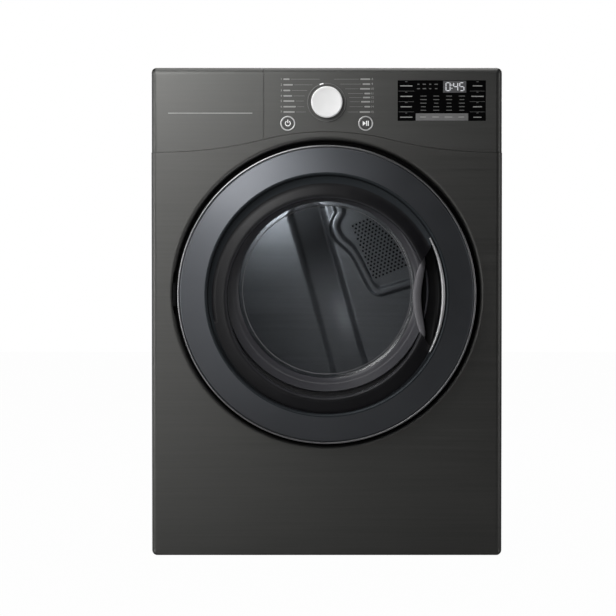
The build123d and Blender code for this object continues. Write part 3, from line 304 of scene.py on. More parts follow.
def toMesh(shape, name, outwards=True):
    mesh = bpy.data.meshes.new(name)
    if outwards:
        bmesh.ops.recalc_face_normals(shape, faces=shape.faces)
    shape.to_mesh(mesh)
    shape.free()
    return mesh


def skin(shape, rows, around=False, flip=False):
    # faces between each row of points and the next
    for first, second in zip(rows, rows[1:]):
        for i in range(len(first) - (not around)):
            j = (i + 1) % len(first)
            face = (first[i], first[j], second[j], second[i])
            shape.faces.new(face[::-1] if flip else face)


def rimOf(rows):
    return rows[0] + [row[-1] for row in rows[1:-1]] + rows[-1][::-1] + [row[0] for row in rows[-2:0:-1]]


def doorSpot(x, depth, z):
    # millimetres from the middle of the door, and behind the front face
    return x * mm, frontY + depth * mm, doorZ + z * mm


def turnOutwards(mesh):
    shape = bmesh.new()
    shape.from_mesh(mesh)
    bmesh.ops.remove_doubles(shape, verts=shape.verts, dist=weldGap)
    bmesh.ops.dissolve_degenerate(shape, edges=shape.edges, dist=weldGap / 10)
    bmesh.ops.recalc_face_normals(shape, faces=shape.faces)
    shape.to_mesh(mesh)
    shape.free()
    return mesh


def newTree(name, sizes):
    # the tree, the inputs that it is given, and the two ways to add to it
    tree = bpy.data.node_groups.new(name, "GeometryNodeTree")
    for label, kind in {"Geometry": "Geometry", **sizes, "Material": "Material"}.items():
        tree.interface.new_socket(label, in_out="INPUT", socket_type="NodeSocket" + kind)
    tree.interface.new_socket("Geometry", in_out="OUTPUT", socket_type="NodeSocketGeometry")
    return tree, addNode(tree, "NodeGroupInput").outputs, partial(addNode, tree), partial(mathNode, tree)


def endTree(tree, given, geometry):
    realize = addNode(tree, "GeometryNodeRealizeInstances", {"Geometry": geometry})
    colour = addNode(tree, "GeometryNodeSetMaterial", {"Geometry": realize, "Material": given["Material"]})
    addNode(tree, "NodeGroupOutput", {"Geometry": colour})
    return tree


def meshOf(holder):
    graph = bpy.context.evaluated_depsgraph_get()
    return bpy.data.meshes.new_from_object(holder.evaluated_get(graph), depsgraph=graph)


def growPiece(name, tree, seed, finish, sharp=35, place=None, **sizes):
    holder = addObject(name + "Seed", seed)
    modifier = holder.modifiers.new("grow", "NODES")
    modifier.node_group = tree
    values = {**sizes, "Material": finishes[finish]}
    for item in tree.interface.items_tree:
        if item.in_out == "INPUT" and item.name in values:
            modifier[item.identifier] = values[item.name]
    mesh = meshOf(holder)
    holder.modifiers.remove(modifier)
    bpy.data.objects.remove(holder)
    if place:
        mesh.transform(place)
    return newPiece(name, turnOutwards(mesh), finish, sharp)


def turningTree():
    # a profile of points in radius and depth, turned about a line along Y
    tree, given, add, calc = newTree("turnedShape", {"Segments": "Int", "Middle": "Vector"})
    domain = add("GeometryNodeAttributeDomainSize", {0: given["Geometry"]}, component="MESH")
    count = domain.outputs["Point Count"]
    grid = add("GeometryNodeMeshGrid", {"Vertices X": calc("ADD", given["Segments"], 1), "Vertices Y": count})
    position = add("GeometryNodeInputPosition")
    split = add("ShaderNodeSeparateXYZ", {0: position}).outputs
    turn = calc("MULTIPLY", calc("ADD", split["X"], 0.5), 2 * pi)
    step = calc("MULTIPLY", calc("ADD", split["Y"], 0.5), calc("SUBTRACT", count, 1))
    sample = add("GeometryNodeSampleIndex", data_type="FLOAT_VECTOR", domain="POINT")
    feed(tree, sample, {"Geometry": given["Geometry"], "Value": position, "Index": calc("ROUND", step)})
    profile = add("ShaderNodeSeparateXYZ", {0: sample}).outputs
    spot = add("ShaderNodeCombineXYZ", {"X": calc("MULTIPLY", profile["X"], calc("COSINE", turn)),
                                        "Y": profile["Y"],
                                        "Z": calc("MULTIPLY", profile["X"], calc("SINE", turn))})
    place = add("GeometryNodeSetPosition", {"Geometry": grid, "Position": spot, "Offset": given["Middle"]})
    return endTree(tree, given, add("GeometryNodeMergeByDistance", {"Geometry": place, "Distance": weldGap}))


turned = turningTree()
standUp = Matrix.Rotation(radians(90), 4, "X")


def turnPiece(name, profile, middle, segments, finish, sharp=35):
    # profile in millimetres: radius, and depth behind the front face
    seed = bpy.data.meshes.new(name + "Profile")
    seed.from_pydata([(radius * mm, depth * mm, 0) for radius, depth in profile], [], [])
    return growPiece(name, turned, seed, finish, sharp, Segments=segments,
                     Middle=(middle[0], frontY, middle[1]))


def bend(first, pull, last, steps=10):
    # points of a smooth bend from first to last, drawn towards pull
    points = []
    for step in range(steps + 1):
        t = step / steps
        points.append(tuple((1 - t) ** 2 * a + 2 * t * (1 - t) * b + t * t * c
                            for a, b, c in zip(first, pull, last)))
    return points


def closed(profile):
    return profile + profile[:1]


def smoothStep(value):
    value = min(1, max(0, value))
    return value * value * (3 - 2 * value)


def platePiece(name, shapes, front, back, finish):
    # flat outlines in X and Z, in metres, each made a thin closed plate that looks forward
    plate = bmesh.new()
    for shape in shapes:
        near, far = [[plate.verts.new((x, y, z)) for x, z in shape] for y in (front, back)]
        plate.faces.new(near)
        plate.faces.new(far[::-1])
        skin(plate, (near, far), True, True)
    return newPiece(name, toMesh(plate, name), finish)


def bar(x, z, wide, tall):
    # bar with round ends, or a plain one where it is too thin for them
    if tall < 0.0009 or wide <= tall:
        w, h = wide / 2, tall / 2
        return [(x - w, z - h), (x + w, z - h), (x + w, z + h), (x - w, z + h)]
    end = tall / 2
    points = []
    for side, turnFrom in ((1, -90), (-1, 90)):
        for step in range(7):
            a = radians(turnFrom + step * 30)
            points.append((x + side * (wide / 2 - end) + end * cos(a), z + end * sin(a)))
    return points


# cabinet: front panel, lid and sides

panelLow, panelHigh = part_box("front_panel")
panelForm = {"corner": 10 * mm, "bend": 12 * mm, "lowBend": 3 * mm, "sheet": 1.5 * mm, "steps": 8}


def bentBack(gap, bend):
    # how far a rounded edge lies back, at a distance from the outline
    short = bend - min(bend, max(0, gap))
    return bend - sqrt(bend ** 2 - short ** 2)


def cutAcross(shape, faces, spot, direction):
    parts = set(faces)
    for face in faces:
        parts.update(face.edges)
        parts.update(face.verts)
    bmesh.ops.bisect_plane(shape, geom=list(parts), dist=1e-7, plane_co=spot, plane_no=direction)


# the CAD fillet round the door's opening, and the wider roll that takes its place
rollForm = {"radius": 302.0, "fillet": 2.0, "outer": 307.0, "inner": 298.3, "deep": 7.0, "sheet": 1.2,
            "lap": 0.6, "proud": 0.03, "lift": 2.4, "hingeHalf": 34.0, "hingeFade": 14.0, "steps": 10,
            "segments": 256}


def clearFillet(shape, form):
    # the flat face of the copy ends where the roll begins, and the fillet goes behind the roll
    middle, fillet = form["radius"] + form["fillet"], form["fillet"]
    for vert in shape.verts:
        x, z, depth = vert.co.x, vert.co.z - doorZ, (vert.co.y - frontY) / mm
        reach = hypot(x, z) / mm
        if depth > fillet + 0.1 or reach > middle + 0.1:
            continue
        turn = atan2(middle - reach, fillet - depth)
        back = hypot(middle - reach, fillet - depth) < fillet * 0.8
        wide = (form["outer"] + (form["fillet"] if back else 0)) / reach
        vert.co.x, vert.co.z = x * wide, doorZ + form["lift"] * mm + z * wide
        vert.co.y = frontY + (form["deep"] * 0.5 if back else form["deep"] * (1 - cos(turn))) * mm


def openingRoll(form):
    # stands back beside the hinge, whose bracket passes through the gap there
    outer, inner, deep, sheet = form["outer"], form["inner"], form["deep"], form["sheet"]
    lap, proud, radius = outer + form["lap"], form["proud"], form["radius"]
    middle = doorZ + form["lift"] * mm
    turns = [pi / 2 * k / form["steps"] for k in range(form["steps"] + 1)]
    profile = [(lap, -proud)]
    profile += [(outer - (outer - inner) * sin(turn), deep * (1 - cos(turn)) - proud) for turn in turns]
    profile += [(inner + sheet, deep), (lap, sheet)]
    roll = turnPiece("openingRoll", closed(profile), (0, middle), form["segments"], "graphite", 40)
    for vert in roll.data.vertices:
        x, z = vert.co.x, vert.co.z - doorZ - form["lift"] * mm
        reach = hypot(x, z) / mm
        if x < 0 and reach < radius:
            beside = smoothStep((abs(z) / mm - form["hingeHalf"]) / form["hingeFade"])
            wide = (radius + (reach - radius) * beside) / reach
            vert.co.x, vert.co.z = x * wide, middle + z * wide
    return roll


def bendSteps(count):
    return [1 - cos(pi / 2 * k / count) for k in range(1, count + 1)]


def bentSheet(shape, name, finish):
    piece = newPiece(name, toMesh(shape, name, False), finish, 30)
    for face in piece.data.polygons:          # flat faces stay flat beside the bends
        face.use_smooth = max(abs(value) for value in face.normal) < 0.9999
    return piece


def frontPanelPiece(form):
    # a copy of the CAD sheet, with its lower edge and corners rounded as its sides are
    shape = copyShape("front_panel")
    clearFillet(shape, rollForm)
    half, low, corner, bend = panelHigh.x, panelLow.z, form["corner"], form["bend"]
    steps = bendSteps(form["steps"])
    cuts = [bend * step for step in steps]
    for cut in cuts + [form["lowBend"] * step for step in steps]:
        cutAcross(shape, shape.faces[:], (0, 0, low + cut), (0, 0, 1))
    for cut in cuts:
        for side in (-1, 1):
            lower = [face for face in shape.faces if face.calc_center_median().z < low + bend]
            cutAcross(shape, lower, (side * (half - cut), 0, 0), (1, 0, 0))
    for vert in shape.verts:
        x, y, z = vert.co
        besideGap, underGap = half - abs(x), z - low
        if underGap > bend:
            continue
        lowBend, beside = form["lowBend"], bentBack(besideGap, bend)
        back = max(beside, bentBack(underGap, lowBend))
        u, v = 1 - besideGap / corner, 1 - underGap / corner
        if u > 0 and v > 0:
            lowBend += (bend - lowBend) * u * u / (u * u + v * v)
            u, v = u * sqrt(1 - v * v / 2), v * sqrt(1 - u * u / 2)
            vert.co.x = copysign(half - corner + corner * u, x)
            vert.co.z = low + corner - corner * v
            back = bentBack(corner - corner * hypot(u, v), lowBend)
        if y - frontY - beside > form["sheet"] / 2:
            vert.co.z += form["sheet"] * back / bend
        if y < frontY + bend + 0.1 * mm:
            vert.co.y += back - beside
    return bentSheet(shape, "frontPanel", "graphite")


keepPiece(frontPanelPiece(panelForm), "cabinet", "graphite_steel", "front_panel")
keepPiece(openingRoll(rollForm), "cabinet", "graphite_steel")

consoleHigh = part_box("control_panel")[1]
consoleForm = {"edge": 7 * mm, "bend": 12 * mm, "corner": 10 * mm, "steps": 8}


def consolePiece(name, node, form):
    # a copy of a CAD node of the console, with its outer edges bent as wide as those of the front panel
    shape = copyShape(node)
    half, top, corner, bend = consoleHigh.x, consoleHigh.z, form["corner"], form["bend"]
    for step in bendSteps(form["steps"]):
        cut = bend * step
        cutAcross(shape, shape.faces[:], (0, 0, top - cut), (0, 0, 1))
        for side in (-1, 1):
            cutAcross(shape, shape.faces[:], (side * (half - cut), 0, 0), (1, 0, 0))
    for vert in shape.verts:
        besideGap, aboveGap = half - abs(vert.co.x), top - vert.co.z
        gap = min(besideGap, aboveGap)
        if max(besideGap, aboveGap) < corner:
            gap = corner - hypot(corner - besideGap, corner - aboveGap)
        if vert.co.y < frontY + form["edge"] + 0.1 * mm:
            vert.co.y += bentBack(gap, bend) - bentBack(gap, form["edge"])
    return bentSheet(shape, name, "console")


keepPiece(consolePiece("controlPanel", "control_panel", consoleForm), "cabinet", "console_shell",
          "control_panel")
keepPiece(consolePiece("drawerFront", "drawer_front", consoleForm), "steam_drawer", "console_shell",
          "drawer_front")

lidLow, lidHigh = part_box("top_panel")
lidForm = {"bend": 10.0, "skirt": 26.0, "sheet": 1.4}


def lidProfile(form):
    # flat top, round shoulders and a short skirt down each side
    half, top = lidHigh.x / mm, lidHigh.z / mm
    right = []
    for inset, sweep in ((0, 1), (form["sheet"], -1)):
        x, z, radius = half - inset, top - inset, form["bend"] - inset
        shoulder = [(x - radius + radius * sin(radians(a)), z - radius + radius * cos(radians(a)))
                    for a in range(0, 91, 10)]
        run = [(x - radius - 1.5, z)] + shoulder + [(x, z - radius - 1.5), (x, top - form["skirt"])]
        right += run[::sweep]
    return [(x * mm, z * mm) for x, z in right + [(-x, z) for x, z in right[::-1]]]


keepPiece(platePiece("topLid", [lidProfile(lidForm)], lidLow.y, lidHigh.y, "graphiteTop"), "cabinet",
          "graphite_steel", "top_panel")

sideLow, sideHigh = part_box("right_side_panel")
sideForm = {"low": 10.0, "joint": 1.2, "sheet": 1.4, "field": (72.0, 114.0, 90.0, 78.0), "corner": 42.0,
            "soft": 16.0, "sunk": 2.8, "fine": 12, "joggle": 1.7, "lip": (4, 12, 14), "flange": (8, 10, 2)}


def fieldLines(first, last, fieldFirst, fieldLast, form):
    # grid lines, close together along the bends and the corners of the field
    lines = [first, last]
    for step in range(form["fine"] + 1):
        reach = (form["corner"] + 4) * step / form["fine"] - 4
        lines += [fieldFirst + reach, fieldLast - reach]
    lines += [fieldFirst + (fieldLast - fieldFirst) * step / 6 for step in range(1, 6)]
    return sorted(lines)


def addBlock(shape, low, high):
    for vert in bmesh.ops.create_cube(shape, size=1)["verts"]:
        vert.co = [(a + b) / 2 + value * (b - a) for value, a, b in zip(vert.co, low, high)]


def sidePiece(name, side, form):
    # flat sheet with one shallow pressed field, a joggle behind the lid and a flange behind the front panel
    shape = bmesh.new()
    half, front, back = sideHigh.x / mm, sideLow.y / mm, sideHigh.y / mm
    low, high = form["low"], lidHigh.z / mm - lidForm["skirt"] - form["joint"]
    near, far, under, over = form["field"]
    box = (front + near, back - far, low + under, high - over)
    corner = form["corner"]

    def sunk(y, z):
        besideGap = max(box[0] + corner - y, y - box[1] + corner, 0)
        underGap = max(box[2] + corner - z, z - box[3] + corner, 0)
        return form["sunk"] * smoothStep((corner - hypot(besideGap, underGap)) / form["soft"])

    across = fieldLines(front, back, box[0], box[1], form)
    upwards = fieldLines(low, high, box[2], box[3], form)
    sheets = [[[shape.verts.new((side * (half - sunk(y, z) - inset) * mm, y * mm, z * mm)) for y in across]
               for z in upwards] for inset in (0, form["sheet"])]
    for rows in sheets:
        skin(shape, rows)
    skin(shape, [rimOf(rows) for rows in sheets], True)
    inside, step = half - form["joggle"], form["sheet"]
    inset, below, above = form["lip"]
    ahead, behind, foot = form["flange"]
    for ends in (((inside - step, front + inset, high - below), (inside, back - inset, high + above)),
                 ((inside - step, front - ahead, low + foot), (inside, front + behind, high))):
        addBlock(shape, *[(side * x * mm, y * mm, z * mm) for x, y, z in ends])
    return newPiece(name, toMesh(shape, name), "graphite", 50)


keepPiece(sidePiece("leftSide", -1, sideForm), "cabinet", "graphite_steel", "left_side_panel")
keepPiece(sidePiece("rightSide", 1, sideForm), "cabinet", "graphite_steel", "right_side_panel")
print("cabinet sheets bent")

# door ring, trim and seal, turned about the door's own line

ringForm = {"shoulder": -24.0, "faceOuter": (283.4, -27.4), "faceInner": (239.0, -38.6), "swell": 0.8,
            "wall": 3.0, "wide": 56.0, "segments": 192}


def ringProfile(form):
    outer = (ringHigh.x - ringLow.x) / 2 / mm
    inner = outer - form["wide"]
    back = (ringHigh.y - frontY) / mm
    shoulder, wall = form["shoulder"], form["wall"]
    (outerX, outerY), (innerX, innerY) = form["faceOuter"], form["faceInner"]
    edge = bend((outer, shoulder + 2), (outer, outerY + 0.4), (outerX, outerY), 5)
    middle = ((outerX + innerX) / 2, (outerY + innerY) / 2 - form["swell"])
    face = bend((outerX, outerY), middle, (innerX, innerY), 10)
    nose = bend((innerX, innerY), (inner + 2.5, innerY - 2.0), (inner + 0.6, innerY + 4), 8)
    nose.append((inner, innerY + 12))
    inside = [(inner + wall, innerY + 12), (inner + wall + 3, innerY + 6), (innerX, innerY + wall),
              (outerX, outerY + wall), (outer - wall, shoulder + wall + 2), (outer - wall, back)]
    return closed([(outer, back)] + edge + face[1:] + nose[1:] + inside)


doorRing = turnPiece("doorRing", ringProfile(ringForm), (0, doorZ), ringForm["segments"], "ringTint", 50)
doorRing.data.materials.append(finishes["ringEdgeShade"])
for face in doorRing.data.polygons:         # the rounded inner edge is painted darker than the face: painted shade
    if hypot(face.center.x, face.center.z - doorZ) / mm < ringForm["faceInner"][0] - 1.5:
        face.material_index = 1
keepPiece(doorRing, "door", "door_ring_tint", "door_ring")

trimForm = {"front": -24.0, "back": -4.0, "wide": 4.4, "round": (2.2, 2.2, 5), "segments": 192}


def crownProfile(inner, outer, front, back, wide, deep, steps):
    # a flat ring whose two front edges are rounded
    crown = bend((inner, front + deep), (inner, front), (inner + wide, front), steps)
    crown += bend((outer - wide, front), (outer, front), (outer, front + deep), steps)
    return closed([(inner, back)] + crown + [(outer, back)])


trimOuter = (trimHigh.x - trimLow.x) / 2 / mm
trimProfile = crownProfile(trimOuter - trimForm["wide"], trimOuter, trimForm["front"], trimForm["back"],
                           *trimForm["round"])
trimRing = turnPiece("doorTrim", trimProfile, (0, doorZ), trimForm["segments"], "trim", 50)
keepPiece(trimRing, "door", "bright_trim", "door_trim_ring")

sealLow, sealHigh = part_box("door_seal")
sealForm = {"outer": (sealHigh.x - sealLow.x) / 2 / mm, "wide": 10.0,
            "front": (sealLow.y - frontY) / mm, "back": (sealHigh.y - frontY) / mm}


def sealProfile(form):
    outer, front, back = form["outer"], form["front"], form["back"]
    inner = outer - form["wide"]
    # two soft beads with a groove between them, on a flat foot
    near = bend((outer, front + 1), (outer + 0.1, back), (outer - 2.4, back), 6)
    dip = bend((outer - 2.4, back), (outer - 5, front + 0.8), (inner + 2.4, back), 8)
    far = bend((inner + 2.4, back), (inner, back), (inner, front + 1), 6)
    return closed([(outer, front)] + near + dip[1:] + far[1:] + [(inner, front)])


doorSeal = turnPiece("doorSeal", sealProfile(sealForm), (0, doorZ), 144, "rubber", 60)
keepPiece(doorSeal, "door", "seal_rubber", "door_seal")

drumLow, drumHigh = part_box("drum_shell")
drumForm = {"wall": 1.5, "beads": (60, 256, 452), "beadHeight": 3.2, "beadWidth": 11.0, "segments": 128}


def drumProfile(form):
    outer = (drumHigh.x - drumLow.x) / 2 / mm
    front, back = (drumLow.y - frontY) / mm, (drumHigh.y - frontY) / mm
    inside, outside = [(outer - form["wall"], front)], [(outer, front)]
    for bead in form["beads"]:
        for step in range(9):
            along = (step / 8 - 0.5) * 2
            lift = form["beadHeight"] * cos(along * pi / 2) ** 2
            depth = front + bead + along * form["beadWidth"]
            inside.append((outer - form["wall"] - lift, depth))
            outside.append((outer - lift, depth))
    inside.append((outer - form["wall"], back))
    outside.append((outer, back))
    return closed(outside + inside[::-1])


drumShell = turnPiece("drumShell", drumProfile(drumForm), (0, doorZ), drumForm["segments"], "drum", 40)
keepPiece(drumShell, "drum", "zinc_sheet", "drum_shell")
print("door ring, trim, seal and drum turned")

# dial

knobForm = {"dish": 2.2, "edge": 3.0, "segments": 96}


def knobProfile(form):
    radius = (knobHigh.x - knobLow.x) / 2 / mm
    front = (knobLow.y - frontY) / mm
    edge = form["edge"]
    rim = bend((radius, front + edge), (radius, front), (radius - edge, front + 0.1), 8)
    dish = front + form["dish"]
    face = bend((radius - edge, front + 0.1), (radius * 0.55, dish), (0, dish), 10)
    return [(0, -1.2), (radius - 1, -1.2), (radius, -2.2)] + rim + face[1:]


controlKnob = turnPiece("controlKnob", knobProfile(knobForm), (0, dialZ), knobForm["segments"], "knob", 40)
keepPiece(controlKnob, "knob", "knob_silver", "control_knob")

bezelForm = {"inner": 31.2, "outer": 38.4, "high": 1.5, "lineWide": 1.3}


def bezelProfile(form):
    inner, outer, high = form["inner"], form["outer"], form["high"]
    slope = bend((inner, -0.5), (inner + 1, -high + 0.6), (outer - 2.4, -high + 0.5), 6)
    rim = bend((outer - 1.2, -high + 0.3), (outer, -high + 0.3), (outer, -0.5), 6)
    return closed([(inner, 0)] + slope + rim + [(outer, 0)])


bezel = turnPiece("dialBezel", bezelProfile(bezelForm), (0, dialZ), 96, "console", 50)
keepPiece(bezel, "cabinet", "bright_trim", "knob_bezel")
line = bezelForm["outer"] - bezelForm["lineWide"]
bezelLine = turnPiece("dialLine", closed([(line - 0.9, -0.9), (line - 0.5, -1.5), (line + 0.3, -1.5),
                                          (line + 0.8, -0.9)]), (0, dialZ), 96, "markFaint", 50)
keepPiece(bezelLine, "cabinet", "bright_trim")


def arcBand(middle, inner, outer, firstTurn, lastTurn, steps):
    turns = [radians(firstTurn + (lastTurn - firstTurn) * i / steps) for i in range(steps + 1)]
    return [(middle[0] + radius * cos(a), middle[1] + radius * sin(a))
            for radius, run in ((outer, turns), (inner, turns[::-1])) for a in run]


pointerForm = {"band": (36.0 * mm, 38.3 * mm, 100, 112, 24), "front": 1.7 * mm, "back": 0.9 * mm}
pointer = platePiece("dialPointer", [arcBand((0, dialZ), *pointerForm["band"])],
                     frontY - pointerForm["front"], frontY - pointerForm["back"], "signLit")
keepPiece(pointer, "cabinet", "bright_trim")
print("dial turned")


# buttons: bright rings, and signs on the caps

powerLow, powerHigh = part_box("power_button")
startLow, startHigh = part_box("start_button")
buttonForm = {"inner": 11.8, "outer": 14.6, "high": 2.0, "round": (1.2, 0.8, 4)}


def buttonRing(name, x, z, form):
    profile = crownProfile(form["inner"], form["outer"], -form["high"], 0, *form["round"])
    return turnPiece(name, profile, (x, z), 64, "trimBright", 50)


powerX = (powerLow.x + powerHigh.x) / 2
startX = (startLow.x + startHigh.x) / 2
buttonZ = (powerLow.z + powerHigh.z) / 2
keepPiece(buttonRing("powerRing", powerX, buttonZ, buttonForm), "cabinet", "bright_trim", "button_rings")
keepPiece(buttonRing("startRing", startX, buttonZ, buttonForm), "cabinet", "bright_trim")

signForm = {"radius": 5.7 * mm, "line": 1.65 * mm, "tall": 4.9 * mm, "gap": 34, "lift": 0.25 * mm,
            "rise": 0.72, "stroke": 1.1, "left": 5.8 * mm, "arrow": 6 * mm, "bars": (7.4 * mm, 10.6 * mm),
            "barWide": 1.9 * mm}


def powerSign(form):
    radius, line, gap = form["radius"], form["line"], form["gap"]
    arc = arcBand((powerX, buttonZ), radius - line, radius, 90 + gap, 450 - gap, 30)
    stroke = bar(powerX, buttonZ + radius * form["rise"], line, radius * form["stroke"])
    return platePiece("powerSign", [arc, stroke], powerLow.y - form["lift"], powerLow.y + 0.1 * mm, "signLit")


def startSign(form):
    tall, left = form["tall"], startX - form["left"]
    shapes = [[(left, buttonZ - tall), (left + form["arrow"], buttonZ), (left, buttonZ + tall)]]
    shapes += [bar(left + step, buttonZ, form["barWide"], 2 * tall) for step in form["bars"]]
    return platePiece("startSign", shapes, startLow.y - form["lift"], startLow.y + 0.1 * mm, "signLit")


keepPiece(powerSign(signForm), "power_key", "bright_trim")
keepPiece(startSign(signForm), "start_key", "bright_trim")
print("buttons made")

# printed marks round the dial: a number, a dash and a leader line to each place

markForm = {
    "lift": 0.12 * mm, "numberTall": 4.2 * mm, "dashTall": 2.8 * mm, "leader": 0.55 * mm,
    "leftEnd": -91 * mm, "rightEnd": 91 * mm,
    "leftDrops": (-45.2, -34.2, -23.2, -12.6, -2.6, 8.4, 18.7),      # under the middle of the dial
    "rightDrops": (-45.2, -35.6, -26.4, -17.3, -9.5, -1.2, 8.4, 18.7),
    "leftDashes": (17, 26, 19, 24, 30, 34, 31), "rightDashes": (27, 21, 28, 16, 20, 25, 16, 29),
    "ring": 43 * mm, "numberInset": 2.2, "dashInset": 6.2, "dashShare": 0.72, "leaderGap": 2.5,
    "ringGap": 2 * mm, "leaderStop": 14 * mm, "leaderLeast": 3 * mm,
}
markFace = frontY - markForm["lift"]
markBack = frontY + 0.1 * mm


def numberShapes(text, x, z, tall):
    curve = bpy.data.curves.new("number" + text, "FONT")
    curve.body = text
    curve.size = tall * 1.38
    curve.align_x = curve.align_y = "CENTER"
    holder = addObject("number" + text, curve)
    mesh = meshOf(holder)
    bpy.data.objects.remove(holder)
    mesh.transform(Matrix.Translation((x, markFace, z)) @ standUp)
    return mesh


def joinMeshes(name, meshes, finish):
    whole = bmesh.new()
    for mesh in meshes:
        whole.from_mesh(mesh)
        bpy.data.meshes.remove(mesh)
    bmesh.ops.remove_doubles(whole, verts=whole.verts, dist=1e-6)
    grown = bmesh.ops.extrude_face_region(whole, geom=whole.faces[:])
    pushed = [item for item in grown["geom"] if isinstance(item, bmesh.types.BMVert)]
    bmesh.ops.translate(whole, verts=pushed, vec=(0, markBack - markFace, 0))
    return newPiece(name, toMesh(whole, name), finish)


def dialMarks(form):
    numbers, dashes, leaders = [], [], []
    count = 0
    for side, end, drops, lengths in ((-1, form["leftEnd"], form["leftDrops"], form["leftDashes"]),
                                      (1, form["rightEnd"], form["rightDrops"], form["rightDashes"])):
        for drop, length in zip(drops, lengths):
            count += 1
            z = dialZ - drop * mm
            place = end - side * form["numberInset"] * mm
            numbers.append(numberShapes(str(count), place, z, form["numberTall"]))
            near = end - side * form["dashInset"] * mm
            far = near - side * length * form["dashShare"] * mm
            dashes.append(bar((near + far) / 2, z, abs(near - far), form["dashTall"]))
            # the leader stops short of the bezel
            reach = sqrt(max(0, form["ring"] ** 2 - (z - dialZ) ** 2)) + form["ringGap"]
            stop = side * max(reach, form["leaderStop"])
            start = far - side * form["leaderGap"] * mm
            if side * (start - stop) > form["leaderLeast"]:
                leaders.append(bar((start + stop) / 2, z, abs(start - stop), form["leader"]))
    return (joinMeshes("dialNumbers", numbers, "mark"),
            platePiece("dialDashes", dashes, markFace, markBack, "mark"),
            platePiece("dialLeaders", leaders, markFace, markBack, "markThin"))


for piece in dialMarks(markForm):
    keepPiece(piece, "cabinet", "bright_trim")

# a light line across the drawer front
lineForm = {"left": -310 * mm, "right": -145 * mm, "z": 871 * mm, "tall": 1.9 * mm}
drawerLine = platePiece("drawerLine", [bar((lineForm["left"] + lineForm["right"]) / 2, lineForm["z"],
                                           lineForm["right"] - lineForm["left"], lineForm["tall"])],
                        markFace, markBack, "mark")
keepPiece(drawerLine, "steam_drawer", "bright_trim")
print("marks printed")

# display: clock, key strip, separators and rows of short legends

displayForm = {
    "clock": (227, 272, 911, 934), "keys": (173.5, 276, 856.4, 870.6),
    "digitTall": 15.5, "digitWide": 8.0, "stroke": 1.6, "time": "045",
    "digitX": (236.5, 251.5, 263.5), "colon": (244, 3.2, 1.8),      # place, rise and size of its dots
    "keyLeft": (140, 170), "keyRight": (279, 308.6), "keyRows": (914, 893.5, 873.5),
}
windowFace = windowLow.y - 0.12 * mm
windowBack = windowLow.y + 0.1 * mm


def pane(box):
    left, right, low, high = [value * mm for value in box]
    return [(left, low), (right, low), (right, high), (left, high)]


segmentsOf = {"0": "abcdef", "4": "bcfg", "5": "acdfg"}


def digitShapes(figure, x, z, form):
    wide, tall, stroke = form["digitWide"] * mm, form["digitTall"] * mm, form["stroke"] * mm
    gap, w = stroke * 0.62, stroke / 2
    level = {"a": tall / 2, "g": 0, "d": -tall / 2}
    half = tall / 4 - gap
    shapes = []
    for part in segmentsOf[figure]:
        if part in level:
            shapes.append(bar(x, z + level[part], wide - 2 * gap, stroke))
            continue
        cx = x + (1 if part in "bc" else -1) * wide / 2
        middle = z + (1 if part in "bf" else -1) * tall / 4
        shapes.append([(cx - w, middle - half), (cx, middle - half - w), (cx + w, middle - half),
                       (cx + w, middle + half), (cx, middle + half + w), (cx - w, middle + half)])
    return shapes


def clockFigures(form):
    z = (form["clock"][2] + form["clock"][3]) / 2 * mm
    shapes = []
    for figure, x in zip(form["time"], form["digitX"]):
        shapes += digitShapes(figure, x * mm, z, form)
    colon, rise, dot = form["colon"]
    return shapes + [bar(colon * mm, z + lift * mm, dot * mm, dot * mm) for lift in (-rise, rise)]


gridSizes = {"Columns": "Int", "Rows": "Int", "Column Step": "Float", "Row Step": "Float"}


def gridOf(given, add, calc):
    sizes = {}
    for label, count in (("X", "Column"), ("Y", "Row")):
        gaps = calc("SUBTRACT", given[count + "s"], 1)
        sizes["Size " + label] = calc("MULTIPLY", gaps, given[count + " Step"])
        sizes["Vertices " + label] = given[count + "s"]
    return add("GeometryNodeMeshGrid", sizes)


def legendTree():
    # short dashes set out in columns and rows, each a little different in length
    tree, given, add, calc = newTree("legendRows", {**gridSizes, "Length": "Float", "Height": "Float",
                                                    "Depth": "Float", "Seed": "Int"})
    size = add("ShaderNodeCombineXYZ", {"X": given["Length"], "Y": given["Height"], "Z": given["Depth"]})
    stretch = add("FunctionNodeRandomValue", data_type="FLOAT")
    feed(tree, stretch, {"Min": 0.55, "Max": 1.0, "Seed": given["Seed"]})
    scale = add("ShaderNodeCombineXYZ", {"X": stretch.outputs["Value"], "Y": 1.0, "Z": 1.0})
    return endTree(tree, given, add("GeometryNodeInstanceOnPoints", {
        "Points": gridOf(given, add, calc), "Instance": add("GeometryNodeMeshCube", {"Size": size}),
        "Scale": scale}))


legends = legendTree()


def legendRows(name, x, z, columns, rows, columnStep, rowStep, length, height, seed, finish):
    # the rows are set out flat and then stood up on the face of the display
    place = Matrix.Translation((x * mm, windowLow.y, z * mm)) @ standUp
    piece = growPiece(name, legends, bpy.data.meshes.new(name + "Seed"), finish, 35, place, Columns=columns,
                      Rows=rows, Length=length * mm, Height=height * mm, Depth=0.36 * mm, Seed=seed,
                      **{"Column Step": columnStep * mm, "Row Step": rowStep * mm})
    return keepPiece(piece, "cabinet", "black_gloss")


